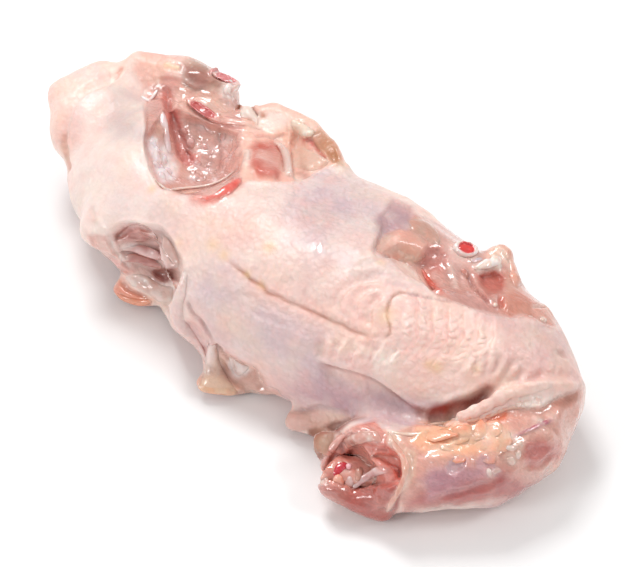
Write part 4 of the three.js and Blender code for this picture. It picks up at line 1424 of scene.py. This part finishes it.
def loft(name, rows, around=False, thickness=0.0):
    """A mesh through rows of points (mm): a sheet, or a closed tube where rows go around."""
    count, width = rows.shape[:2]
    bpy.ops.object.select_all(action="DESELECT")
    bpy.ops.mesh.primitive_grid_add(x_subdivisions=count - 1, y_subdivisions=width - 1, size=1)
    obj = bpy.context.object
    obj.name = name
    put_points(obj.data, rows.transpose(1, 0, 2).reshape(-1, 3))
    only(obj)
    bpy.ops.object.mode_set(mode="EDIT")
    bpy.ops.mesh.select_all(action="SELECT")
    if around:
        bpy.ops.mesh.remove_doubles(threshold=0.01 * MM)
    bpy.ops.mesh.normals_make_consistent(inside=False)
    bpy.ops.object.mode_set(mode="OBJECT")
    if thickness:
        modify(obj, "SOLIDIFY", thickness=thickness * MM, offset=0)
    modify(obj, "SUBSURF", levels=1, render_levels=1)
    return obj


def cord(name, path, widths, lift=0.0, flat=0.75, wobble=0.12):
    """A round or flattened roll of tissue along a pixel path. Its half width runs through `widths` mm."""
    clay = surface()
    points, normals = clay.line(path)
    count = max(8, len(points) // 2)
    points = blurred(even(points, count), 4)
    normals = unit(blurred(even(normals, count), 4))
    across = np.cross(unit(np.gradient(points, axis=0)), normals)
    along = np.linspace(0, 1, count)
    width = np.interp(along, np.linspace(0, 1, len(widths)), widths)
    taper = np.sqrt(np.clip(1 - np.abs(2 * along - 1) ** 4, 0, 1))
    width = width * taper * (1 + wobble * grain(points, 3.0, 7))
    turn = np.linspace(0, 2 * math.pi, CORD_SIDES + 1)[None, :, None]
    ring = np.cos(turn) * across[:, None] + flat * np.sin(turn) * normals[:, None]
    sunk = (lift - CORD_EMBED) * taper - CORD_EMBED * (1 - taper)
    rows = (points + normals * sunk[:, None])[:, None] + width[:, None, None] * ring
    rough = wobble * grain(rows.reshape(-1, 3), 2.2, 15).reshape(rows.shape[:2])
    rows += rough[..., None] * normals[:, None]
    rows[:, -1] = rows[:, 0]
    return loft(name, rows, around=True)


def film(name, edge_a, edge_b, bulge=0.0, lift=0.4, taut=0.0, across=9, crumple=0.0):
    """A film between two pixel edges. Where it's taut it spans hollows, else it lies on the flesh."""
    clay = surface()
    a, b = (even(smooth_line(edge, PATH_STEP), FILM_ROWS) for edge in (edge_a, edge_b))
    share = np.linspace(0, 1, across)
    laid = np.empty((FILM_ROWS, across, 3))
    normals = np.empty((FILM_ROWS, across, 3))
    for i in range(FILM_ROWS):
        for j in range(across):
            u, v = a[i] * (1 - share[j]) + b[i] * share[j]
            laid[i, j], normals[i, j] = clay.pick(u, v)
    spans = laid[:, :1] * (1 - share[None, :, None]) + laid[:, -1:] * share[None, :, None]
    rows = laid * (1 - taut) + spans * taut
    rows = blurred(rows, 3)
    normals = blurred(normals, 4)
    dome = np.outer(np.sin(np.linspace(0, math.pi, FILM_ROWS)) ** 0.5,
                    np.sin(np.linspace(0, math.pi, across)) ** 0.6)
    rough = crumple * grain(rows.reshape(-1, 3), 2.2, 9).reshape(FILM_ROWS, across)
    cling = (lift + FILM_EMBED) * np.clip(dome * 2.5, 0, 1) - FILM_EMBED
    rows = rows + normals * (cling + bulge * dome + rough * dome)[..., None]
    return loft(name, rows, thickness=FILM_THICKNESS)


def blobs(name, places, lift=0.3, seed=1):
    """Small soft lumps, each at a pixel with a half width and a height (mm)."""
    clay = surface()
    bpy.ops.object.select_all(action="DESELECT")
    made = []
    for k, (u, v, wide, high) in enumerate(places):
        bpy.ops.mesh.primitive_uv_sphere_add(segments=14, ring_count=9, radius=1)
        blob = bpy.context.object
        point, normal = clay.pick(u, v)
        co = np.empty(len(blob.data.vertices) * 3)
        blob.data.vertices.foreach_get("co", co)
        co = co.reshape(-1, 3)
        side = np.cross(normal, VIEW_UP)
        side /= np.linalg.norm(side)
        axes = np.array([side, np.cross(normal, side), normal])
        long, short = 1 + 0.25 * math.sin(seed + 2.7 * k), 1 - 0.2 * math.sin(seed + 1.9 * k)
        shape = (co * (wide * long, wide * short, high)) @ axes
        shape *= (1 + 0.3 * grain(shape + point, 2.4, seed))[:, None]
        put_points(blob.data, shape + point + normal * lift)
        made.append(blob)
    only(made[0])
    for blob in made:
        blob.select_set(True)
    bpy.ops.object.join()
    obj = bpy.context.object
    obj.name = name
    return obj


def tissue(obj, colour, edge=1.0, second=None, grain_size=2.5, **masks):
    """Colours a piece, and takes its edges over into the colour of the flesh that it lies on."""
    clay = surface()
    co = points_of(obj.data)
    count = len(co)
    tint = np.tile(linear(colour), (count, 1))
    if second:
        amount = fade(0.5 + 0.9 * grain(co, grain_size, 4))[:, None]
        tint = tint * (1 - amount) + linear(second) * amount
    values = {name: np.full(count, float(masks.get(name, 0))) for name in clay.masks}
    if edge:
        under = np.empty(count, np.int64)
        gap = np.empty(count)
        for i in range(count):
            _, _, face, distance = clay.tree.find_nearest(Vector(co[i]))
            under[i], gap[i] = clay.a[face], distance
        amount = fade(gap / edge)[:, None]
        tint = tint * amount + clay.tint[under] * (1 - amount)
        for name in values:
            values[name] = values[name] * amount[:, 0] + clay.masks[name][under] * (1 - amount[:, 0])
    write_colours(obj.data, tint, values)
    dress(obj, bpy.data.materials[FLESH_MATERIAL], "skin")
    return obj


# ---- bones that show at the cuts


MARROW_SHARE = 0.7  # of the bone's radius
MARROW_DEPTH = 0.6  # mm below the rim
MARROW_REACH = 7.0  # mm down that the node's hollow goes
BONE_FACE = 0.5  # size in mm of a sawn bone's faces
VERTEBRA_FACE = 0.8


def sawn_bone(node, end):
    """A sawn bone end: a pale rim round red marrow, pressed to the outline that the photo shows."""
    obj = node_copy(node + "_end", node)
    top, axis, radius = bone_end(node)
    modify(obj, "REMESH", mode="VOXEL", voxel_size=BONE_FACE * MM)
    modify(obj, "SMOOTH", factor=0.5, iterations=2)
    co = points_of(obj.data)
    offset = co - top
    height = offset @ axis
    out = np.linalg.norm(offset - np.outer(height, axis), axis=1)
    on_cut = fade((height + 1.6) / 0.6)
    inner = fade((MARROW_SHARE * radius - out) / (0.14 * radius) + 0.5) * (height > -MARROW_REACH)
    heart = fade(0.3 + grain(co, 3.0, 41)) * inner
    tint = linear(end["rim"]) * (1 - inner[:, None]) + linear(end["marrow"]) * inner[:, None]
    tint = tint * (1 - 0.6 * heart[:, None]) + linear(end["core"]) * 0.6 * heart[:, None]
    filled = np.clip(-MARROW_DEPTH - height, 0, None) * inner
    co = co + axis * (end["rise"] + filled + np.maximum(on_cut, inner) * 0.4 * grain(co, 1.6, 42))[:, None]
    co = squeezed(co, top, end["heading"], end["along"], end["across"])
    put_points(obj.data, co)
    write_colours(obj.data, tint, {"meat": 0.5 * inner, "wet": np.ones(len(co))})
    dress(obj, bpy.data.materials[FLESH_MATERIAL], "marrow", node)
    return obj


class MESH_OT_turkey_bones(bpy.types.Operator):
    """Model the sawn bones and the neck's vertebra"""

    bl_idname = "mesh.turkey_bones"
    bl_label = "Bones at the Cuts"

    def execute(self, context):
        for node, end in SAWN_BONES.items():
            sawn_bone(node, end)
        vertebra = node_copy("neck_vertebra", "neck_bone")
        modify(vertebra, "REMESH", mode="VOXEL", voxel_size=VERTEBRA_FACE * MM)
        modify(vertebra, "SMOOTH", factor=0.5, iterations=6)
        clay = Clay(vertebra)
        clay.see()
        clay.tint[:] = linear("#d98c7c")
        clay.co += clay.normal * (0.5 * grain(clay.co, 4.0, 11) + 0.25 * grain(clay.co, 1.8, 12))[:, None]
        clay.dye(fade(1.4 * grain(clay.co, 4.0, 13)), "#f0c0b2", 0.7)
        clay.dye(fade(1.4 * grain(clay.co, 3.0, 14)), "#b9665a", 0.6)
        clay.mark("meat", 0.7)
        clay.mark("wet", 1.0)
        clay.finish()
        dress(vertebra, bpy.data.materials[FLESH_MATERIAL], "bone", "neck_bone")
        clay.settle()
        surface().over.append(clay.tree)
        return {"FINISHED"}


# ---- pit where the far thigh was

HIP_LIP = [(196, 108), (206, 115), (216, 120), (228, 122), (240, 123), (250, 125), (262, 130)]
RIM_GRISTLE = [(232, 76), (229, 86), (224, 96)]
PIT_LUMPS = [(184, 133, 2.2, 1.0), (191, 143, 2.4, 1.2), (187, 150, 1.6, 0.8), (203, 127, 1.4, 0.7),
             (204, 147, 1.8, 0.9), (212, 152, 1.5, 0.8), (198, 163, 2.0, 0.8), (209, 165, 1.6, 0.8),
             (193, 172, 1.8, 0.9), (200, 180, 2.2, 0.9), (215, 172, 1.4, 0.7), (222, 136, 1.8, 0.8),
             (231, 139, 1.8, 0.8), (229, 156, 1.6, 0.8), (226, 147, 1.2, 0.6)]
FAT_AND_HIGHLIGHT_LUMPS = [(153, 142, 2.2, 0.9), (158, 151, 2.6, 1.1), (165, 160, 2.8, 1.1), (157, 165, 2.2, 1.0),
             (168, 171, 2.4, 1.0), (174, 178, 2.0, 0.9), (162, 176, 2.0, 0.8)]


class MESH_OT_turkey_hip_tissue(bpy.types.Operator):
    """Model the films and the muscle lumps in the far hip's pit"""

    bl_idname = "mesh.turkey_hip_tissue"
    bl_label = "Hip Tissue"

    def execute(self, context):
        tissue(cord("silver_skin", SILVER_SKIN, (1.4, 2.0, 2.0, 1.5), lift=0.3, flat=0.5),
               "#fbe2e2", 0.7, second="#f0cac8", wet=1)
        tissue(cord("pit_skin_edge", PIT_SKIN_LINE, (0.5, 0.9, 0.8, 1.0, 0.6), lift=0.35, wobble=0.3),
               "#fae2d8", 0.6, wet=0.8)
        tissue(cord("pit_skin_edge_low", PIT_SKIN_LINE_LOW, (0.4, 0.6, 0.4), lift=0.1), "#efc4b4", 0.5)
        tissue(cord("blood_crescent", RED_CRESCENT_HOT, (1.0, 1.6, 2.2, 2.2, 1.2), lift=0.1, flat=0.5,
                    wobble=0.3), "#ee4f42", 1.0, second="#f26a5c", meat=0.5, wet=1)
        tissue(cord("hip_lip", HIP_LIP, (0.8, 1.3, 1.5, 1.4, 1.0), lift=0.1, flat=0.6),
               "#efb5a7", 1.0, meat=0.3, wet=1)
        tissue(cord("rim_gristle", RIM_GRISTLE, (1.6, 2.3, 2.0), lift=0.2, flat=0.8),
               "#f4e0da", 1.0, wet=1)
        # white gristle, painted near-white partly as the painted highlight that shows there
        tissue(cord("gristle_and_highlight_left", GRISTLE_AND_HIGHLIGHT_LEFT, (0.8, 1.3, 0.8), lift=0.3), "#fbeeee", 0.6, wet=1)
        tissue(cord("gristle_and_highlight_right", GRISTLE_AND_HIGHLIGHT_RIGHT, (0.7, 1.1, 0.8), lift=0.3), "#f7e2de", 0.6, wet=1)
        tissue(blobs("muscle_lumps", PIT_LUMPS, lift=-0.3, seed=3),
               "#e2b4ae", 0.7, second="#cf938a", meat=1, wet=1)
        # whitish wet fat, painted near-white partly as the painted highlight of the wet corner
        tissue(blobs("fat_and_highlight_lumps", FAT_AND_HIGHLIGHT_LUMPS, lift=-0.2, seed=5),
               "#fff0f2", 0.6, second="#f8dcde", wet=1)
        return {"FINISHED"}


# ---- flaps behind the pit

CREAM_FOLD_TOP = [(290, 118), (299, 121), (308, 126), (316, 132)]
CREAM_FOLD_FOOT = [(292, 128), (298, 134), (304, 139), (312, 137)]
PALE_FLAP_TOP = [(292, 149), (303, 148), (314, 152), (330, 161)]
PALE_FLAP_FOOT = [(293, 166), (302, 170), (312, 172), (326, 166)]
LOBE_SKIN_OUTER = [(274, 138), (283, 144), (290, 156), (294, 178)]
LOBE_SKIN_INNER = [(273, 143), (279, 149), (283, 160), (284, 177)]
FLAP_LEFT_OUTER = [(240, 104), (248, 104), (255, 111), (258, 120)]
FLAP_LEFT_INNER = [(240, 118), (246, 119), (252, 121), (258, 126)]


class MESH_OT_turkey_far_flaps(bpy.types.Operator):
    """Model the folded flaps behind the pit"""

    bl_idname = "mesh.turkey_far_flaps"
    bl_label = "Far Flaps"

    def execute(self, context):
        tissue(film("cream_fold", CREAM_FOLD_TOP, CREAM_FOLD_FOOT, bulge=0.7, lift=0.2),
               "#fbd8c4", 1.1, wet=0.15)
        tissue(film("pale_flap", PALE_FLAP_TOP, PALE_FLAP_FOOT, bulge=0.9, lift=0.3),
               "#eebba8", 1.0, wet=0.15)
        tissue(film("lobe_skin", LOBE_SKIN_OUTER, LOBE_SKIN_INNER, bulge=0.3, lift=0.2),
               "#eec2b6", 0.9, wet=0.6)
        tissue(film("flap_left", FLAP_LEFT_OUTER, FLAP_LEFT_INNER, bulge=1.0, lift=0.3),
               "#fcdcd0", 0.9, wet=0.15)
        tissue(cord("muscle_end_fat", LOBE_FAT, (1.2, 1.7, 1.2), lift=0.0, flat=0.5),
               "#f6d8cc", 1.2, wet=0.8)
        return {"FINISHED"}


# ---- shoulder where the far wing was

LENS_FRONT_TOP = [(375, 249), (382, 238), (392, 231), (402, 228), (413, 231), (423, 238), (429, 246)]
LENS_FRONT_FOOT = [(378, 254), (386, 257), (396, 260), (405, 263), (414, 265), (421, 262), (428, 256)]
LENS_BACK_TOP = [(408, 219), (416, 219), (426, 220), (435, 228), (441, 239)]
LENS_BACK_FOOT = [(409, 226), (414, 232), (422, 238), (430, 244), (440, 246)]
HOOK = [(473, 271), (477, 267), (483, 264), (490, 264), (497, 261), (501, 256)]
PEAK = [(492, 259), (496, 250), (501, 246), (507, 252), (512, 262), (516, 276), (518, 290)]
BLUISH = [(470, 262), (477, 260), (484, 259)]
BROWN_MUSCLE_KNOB = [(461, 268), (465, 273), (468, 280)]
SMALL_FLAP_ROLL = [(528, 309), (536, 305), (546, 307), (554, 315), (556, 322)]


class MESH_OT_turkey_shoulder_tissue(bpy.types.Operator):
    """Model the films and the gristle in the shoulder's hollow"""

    bl_idname = "mesh.turkey_shoulder_tissue"
    bl_label = "Shoulder Tissue"

    def execute(self, context):
        tissue(film("shoulder_film_back", LENS_BACK_TOP, LENS_BACK_FOOT, bulge=0.5, lift=0.1, taut=0.6),
               "#de8e7a", 0.9, wet=0.6)
        tissue(film("shoulder_film_front", LENS_FRONT_TOP, LENS_FRONT_FOOT, bulge=0.15, lift=0.1,
                    taut=0.35, across=11), "#e68f7a", 1.1, second="#db8470", wet=0.25)
        tissue(cord("red_ridge", RED_RIDGE, (0.8, 1.5, 1.5, 1.0), lift=0.2),
               "#e2614c", 0.8, meat=1, wet=1)
        tissue(cord("gristle_hook", HOOK, (1.2, 2.4, 2.0, 2.9, 2.4, 1.6), lift=0.3, flat=0.7, wobble=0.6),
               "#fff4ee", 1.0, second="#fbd8c8", wet=0.8)
        tissue(cord("shoulder_gristle", PEAK, (1.8, 3.2, 3.6, 3.6, 3.0, 1.8), lift=-0.7, wobble=0.4),
               "#f0b29c", 1.6, second="#dc9a86", wet=0.5)
        tissue(cord("bluish_gristle", BLUISH, (1.0, 1.5, 1.0), lift=0.3, flat=0.6), "#d9c4cc", 0.8, wet=1)
        tissue(cord("muscle_knob", BROWN_MUSCLE_KNOB, (1.0, 1.6, 1.0), lift=0.4),
               "#cb8474", 0.8, meat=1, wet=1)
        tissue(cord("small_flap", SMALL_FLAP_ROLL, (0.8, 1.4, 1.5, 0.9), lift=0.3, flat=0.7),
               "#edbfb0", 0.8, wet=0.6)
        tissue(blobs("wing_lumps", [(543, 320, 1.9, 1.2), (495, 305, 1.3, 0.8)], lift=0.0),
               "#f3cfc0", 0.9, wet=1)
        return {"FINISHED"}


# ---- hollow where the near thigh was

ROLL_UPPER = [(116, 252), (126, 247), (140, 249), (154, 254), (168, 262), (176, 268)]
ROLL_LOWER = [(120, 262), (130, 257), (142, 259), (154, 264), (164, 268)]
NEAR_FILM_OUTER = [(152, 230), (162, 232), (171, 242), (177, 254), (181, 266)]
NEAR_FILM_INNER = [(150, 236), (158, 244), (166, 254), (172, 262), (177, 269)]
LOWER_FLAP_TOP = [(124, 277), (134, 273), (146, 275), (160, 284), (174, 287)]
LOWER_FLAP_FOOT = [(132, 286), (140, 290), (150, 296), (160, 303), (172, 301)]
ORANGE_ROLL = [(113, 290), (118, 297), (129, 302), (142, 303), (153, 301)]


class MESH_OT_turkey_near_hip(bpy.types.Operator):
    """Model the rolls and the films in the near hip's hollow"""

    bl_idname = "mesh.turkey_near_hip"
    bl_label = "Near Hip"

    def execute(self, context):
        tissue(cord("film_roll_upper", ROLL_UPPER, (1.4, 2.6, 3.0, 2.6, 1.6), lift=0.2, flat=0.6,
                    wobble=0.2), "#e8c0bc", 1.0, second="#cf9a94", wet=0.8)
        tissue(cord("film_roll_lower", ROLL_LOWER, (1.2, 2.2, 2.4, 1.6), lift=0.2, flat=0.6, wobble=0.25),
               "#cf968d", 1.2, second="#bd7f78", wet=0.8)
        tissue(film("near_rim_film", NEAR_FILM_OUTER, NEAR_FILM_INNER, bulge=0.6, taut=0.5),
               "#d6aaa0", 0.8, wet=0.7)
        tissue(film("lower_flap", LOWER_FLAP_TOP, LOWER_FLAP_FOOT, bulge=0.8, lift=0.2, crumple=0.6),
               "#fad6cc", 1.0, second="#ebbcb0", wet=0.5)
        tissue(cord("orange_fat_roll", ORANGE_ROLL, (1.2, 2.2, 2.4, 1.4), lift=0.2, flat=0.8),
               "#f0a07e", 1.0, wet=1)
        return {"FINISHED"}


# ---- flaps at the table

PILLAR_LEFT = [(208, 343), (206, 358), (204, 372), (199, 384), (193, 395)]
PILLAR_RIGHT = [(216, 344), (219, 357), (223, 369), (231, 381), (242, 391)]
PILLAR_FOOT_TOP = [(196, 386), (208, 378), (220, 381), (236, 389)]
PILLAR_FOOT_LOW = [(190, 400), (206, 400), (222, 398), (240, 395)]
WHITE_BIT_TOP = [(228, 355), (238, 361), (250, 367)]
WHITE_BIT_LOW = [(233, 371), (239, 376), (246, 371)]


class MESH_OT_turkey_low_flaps(bpy.types.Operator):
    """Model the torn flaps that touch the table"""

    bl_idname = "mesh.turkey_low_flaps"
    bl_label = "Low Flaps"

    def execute(self, context):
        tissue(cord("flank_skin_fold", FLANK_FOLD, (1.2, 2.6, 3.2, 2.8, 1.6), lift=0.0, flat=0.45),
               "#ecd0cb", 2.0, pores=0.8)
        tissue(film("fat_pillar", PILLAR_LEFT, PILLAR_RIGHT, bulge=1.8, lift=0.1, taut=0.3),
               "#ffcbb4", 3.4, wet=0.3)
        tissue(film("orange_fat_pad", PILLAR_FOOT_TOP, PILLAR_FOOT_LOW, bulge=0.9, lift=0.1),
               "#ffb690", 1.6, second="#ffc8a8", wet=0.3)
        tissue(film("white_bit", WHITE_BIT_TOP, WHITE_BIT_LOW, bulge=0.4, lift=0.3, crumple=0.7),
               "#efd2cc", 0.7, wet=0.3)
        return {"FINISHED"}


# ---- neck

CREST_ROLL = [(444, 424), (456, 419), (470, 414), (486, 406), (505, 396), (524, 390), (544, 386),
              (562, 386)]
SKIN_LIP = [(424, 425), (446, 422), (468, 421), (486, 418), (499, 412), (513, 407), (530, 408),
            (542, 407), (553, 400), (565, 394)]
TENDON_UPPER = [(388, 430), (400, 434), (416, 434), (432, 430)]
FAT_LUMP_SPREAD = 2.4
FAT_LUMPS = [(438, 431, 2.8, 1.4), (447, 441, 2.6, 1.3), (456, 430, 2.6, 1.3), (465, 438, 2.8, 1.5),
             (474, 429, 2.4, 1.2), (482, 437, 2.8, 1.4), (491, 428, 2.2, 1.2), (498, 438, 2.4, 1.3),
             (434, 450, 2.0, 1.0), (455, 450, 2.2, 1.1), (472, 447, 2.0, 1.0), (488, 448, 2.2, 1.1),
             (508, 431, 2.0, 1.0), (502, 450, 1.8, 0.9)]
GEL_LUMPS = [(512, 448, 1.8, 1.0), (518, 455, 2.2, 1.2), (510, 461, 2.0, 1.0), (521, 445, 1.6, 0.8),
             (528, 403, 2.2, 1.0), (538, 401, 1.8, 0.9), (519, 404, 1.8, 0.8), (497, 471, 1.8, 0.8),
             (489, 473, 1.6, 0.8), (540, 421, 1.4, 0.7)]


class MESH_OT_turkey_neck_tissue(bpy.types.Operator):
    """Model the skin roll, the fat and the vein of the neck"""

    bl_idname = "mesh.turkey_neck_tissue"
    bl_label = "Neck Tissue"

    def execute(self, context):
        tissue(cord("neck_skin_roll", CREST_ROLL, (2.0, 2.5, 2.8, 3.0, 2.4, 1.4), lift=-0.2, flat=0.6,
                    wobble=0.45), "#fcdace", 2.2, second="#f6c8ba", pores=1)
        tissue(cord("neck_skin_lip", SKIN_LIP, (0.5, 0.9, 0.9, 1.0, 0.6), lift=0.2),
               "#f0c2ae", 0.7, wet=0.6)
        lumps = [(u, v, wide * FAT_LUMP_SPREAD, high) for u, v, wide, high in FAT_LUMPS]
        tissue(blobs("neck_fat_lumps", lumps, lift=-1.3, seed=2),
               "#f89c7a", 1.8, second="#f8b494", wet=0.6)
        tissue(blobs("neck_gel_lumps", GEL_LUMPS, lift=-0.3, seed=8),
               "#e3bcae", 0.9, second="#efd6cc", wet=1)
        tissue(cord("neck_vein", NECK_VEIN, (0.5, 1.0, 1.1, 0.6), lift=0.1, flat=0.5),
               "#bb5066", 0.8, wet=1)
        tissue(cord("neck_tendon", TENDON_UPPER, (0.7, 1.2, 0.8), lift=0.2, flat=0.7),
               "#f5d0bd", 0.8, wet=1)
        return {"FINISHED"}


# ---- cut end of the neck

TENDON_STRIP = [(352, 490), (360, 481), (370, 474), (384, 469), (400, 470)]
RED_CANAL = [(333, 478), (336, 472), (341, 467), (348, 462)]
CUT_KNOB = (339, 481)
CUT_BALL = (348, 467)
GEL_MASS = [(350, 474), (350, 482), (349, 490)]
TAN_MEAT = [(358, 466), (360, 474), (356, 482)]
SMALL_VESSEL = [(395, 482), (399, 480), (404, 483), (402, 488), (396, 487)]
CUT_RIM = [(388, 430), (391, 440), (397, 449), (404, 457), (406, 468), (404, 480), (397, 493), (391, 503),
           (386, 513)]
CUT_RIM_LEFT = [(352, 430), (342, 436), (333, 447), (325, 460), (323, 474), (327, 486), (336, 491)]
CUT_TOP_FILM_A = [(342, 440), (352, 434), (364, 430), (378, 430)]
CUT_TOP_FILM_B = [(348, 450), (358, 445), (370, 442), (384, 444)]


class MESH_OT_turkey_cut_neck(bpy.types.Operator):
    """Model what shows in the neck's cut end"""

    bl_idname = "mesh.turkey_cut_neck"
    bl_label = "Cut Neck"

    def execute(self, context):
        tissue(cord("neck_tendon_strip", TENDON_STRIP, (1.0, 1.9, 2.3, 1.8), lift=0.8, flat=0.5),
               "#f0d2ce", 0.8, second="#e0a8a4", wet=1)
        tissue(cord("spinal_canal", RED_CANAL, (1.2, 2.2, 2.3, 1.2), lift=0.25, flat=0.45),
               "#c8102e", 0.5, meat=1, wet=1)
        tissue(blobs("neck_gristle", [(*CUT_KNOB, 2.8, 1.8)], lift=0.2, seed=4),
               "#f79a7e", 0.7, second="#f9bca6", wet=1)
        tissue(blobs("neck_gristle_ball", [(*CUT_BALL, 1.3, 1.3)], lift=0.8, seed=6),
               "#f5bcc0", 0.4, wet=1)
        tissue(cord("neck_gel", GEL_MASS, (1.6, 2.4, 1.8), lift=0.6, wobble=0.4),
               "#e8c4c0", 0.8, second="#d89c90", wet=1)
        tissue(cord("neck_tan_meat", TAN_MEAT, (1.6, 2.4, 1.6), lift=0.4, wobble=0.3),
               "#cf9684", 0.9, meat=1, wet=1)
        tissue(cord("small_vessel", SMALL_VESSEL, (0.5, 0.8, 0.8, 0.5), lift=0.4), "#e0a79a", 0.5, wet=1)
        tissue(cord("cut_rim", CUT_RIM, (0.8, 1.5, 1.8, 1.6, 1.4, 1.6), lift=0.2, flat=0.8, wobble=0.25),
               "#e8b29c", 1.0, second="#de9a86", wet=1)
        tissue(cord("cut_rim_left", CUT_RIM_LEFT, (0.8, 1.6, 1.8, 1.8, 1.0), lift=0.0, flat=0.8,
                    wobble=0.2), "#ecb4a8", 1.1, second="#e09c90", wet=1)
        tissue(film("cut_top_film", CUT_TOP_FILM_A, CUT_TOP_FILM_B, bulge=0.6, lift=0.3, crumple=0.5),
               "#e09c8e", 0.8, second="#ecbeb2", wet=1)
        return {"FINISHED"}


# ---- the studio


class MESH_OT_turkey_stage(bpy.types.Operator):
    """Set up the pale floor, the soft lights and the camera"""

    bl_idname = "mesh.turkey_stage"
    bl_label = "Turkey Stage"

    def execute(self, context):
        scene = context.scene
        scene.view_settings.view_transform = "Standard"
        bpy.ops.object.select_all(action="DESELECT")
        bpy.ops.mesh.primitive_plane_add(size=6)
        floor = context.object
        floor.name = "floor"
        material, _, shader = new_material("matte_white_paper_sweep")
        shader.inputs["Base Color"].default_value = rgba("#fbfbfb")
        shader.inputs["Roughness"].default_value = 0.9
        floor.data.materials.append(material)
        world = scene.world or bpy.data.worlds.new("studio")
        scene.world = world
        world.use_nodes = True
        background = world.node_tree.nodes["Background"]
        background.inputs["Color"].default_value = (1, 1, 1, 1)
        background.inputs["Strength"].default_value = 0.5
        for name, place, size, power in (
            ("softbox_behind", (-0.63, 0.38, 1.29), 0.5, 11.0),
            ("softbox_right", (0.87, 0.35, 1.05), 0.34, 4.0),
            ("softbox_front", (-0.4, -1.18, 0.81), 0.4, 5.2),
        ):
            light = bpy.data.lights.new(name, "AREA")
            light.size = size
            light.energy = power
            lamp = bpy.data.objects.new(name, light)
            lamp.location = place
            lamp.rotation_euler = (Vector((0, 0, 0.03)) - Vector(place)).to_track_quat(
                "-Z", "Y").to_euler()
            scene.collection.objects.link(lamp)
        data = bpy.data.cameras.new("photo_view")
        data.lens = VIEW_LENS
        data.sensor_width = SENSOR
        camera = bpy.data.objects.new("photo_view", data)
        turn = Matrix((VIEW_RIGHT, VIEW_UP, VIEW_BACK)).transposed().to_4x4()
        camera.matrix_world = Matrix.Translation(VIEW_EYE * MM) @ turn
        scene.collection.objects.link(camera)
        scene.camera = camera
        return {"FINISHED"}


class VIEW3D_PT_turkey_back(bpy.types.Panel):
    """Settings and pieces of the turkey back, in the sidebar"""

    bl_label = "Turkey Back"
    bl_space_type = "VIEW_3D"
    bl_region_type = "UI"
    bl_category = "Turkey Back"

    def draw(self, context):
        layout = self.layout
        layout.prop(context.scene.turkey_flesh, "grain_size")
        for operator in OPERATORS:
            layout.operator(operator.bl_idname)


OPERATORS = (
    MESH_OT_turkey_flesh, MESH_OT_turkey_bones, MESH_OT_turkey_hip_tissue, MESH_OT_turkey_far_flaps,
    MESH_OT_turkey_shoulder_tissue, MESH_OT_turkey_near_hip, MESH_OT_turkey_low_flaps,
    MESH_OT_turkey_neck_tissue, MESH_OT_turkey_cut_neck, MESH_OT_turkey_stage)
CLASSES = (TurkeyFleshSettings, *OPERATORS, VIEW3D_PT_turkey_back)


def register():
    for cls in CLASSES:
        bpy.utils.register_class(cls)
    bpy.types.Scene.turkey_flesh = bpy.props.PointerProperty(type=TurkeyFleshSettings)


def unregister():
    del bpy.types.Scene.turkey_flesh
    for cls in reversed(CLASSES):
        bpy.utils.unregister_class(cls)


def main():
    register()
    bpy.ops.mesh.turkey_flesh()
    bpy.ops.mesh.turkey_bones()
    bpy.ops.mesh.turkey_hip_tissue()
    bpy.ops.mesh.turkey_far_flaps()
    bpy.ops.mesh.turkey_shoulder_tissue()
    bpy.ops.mesh.turkey_near_hip()
    bpy.ops.mesh.turkey_low_flaps()
    bpy.ops.mesh.turkey_neck_tissue()
    bpy.ops.mesh.turkey_cut_neck()
    bpy.ops.mesh.turkey_stage()


if __name__ == "__main__":
    main()
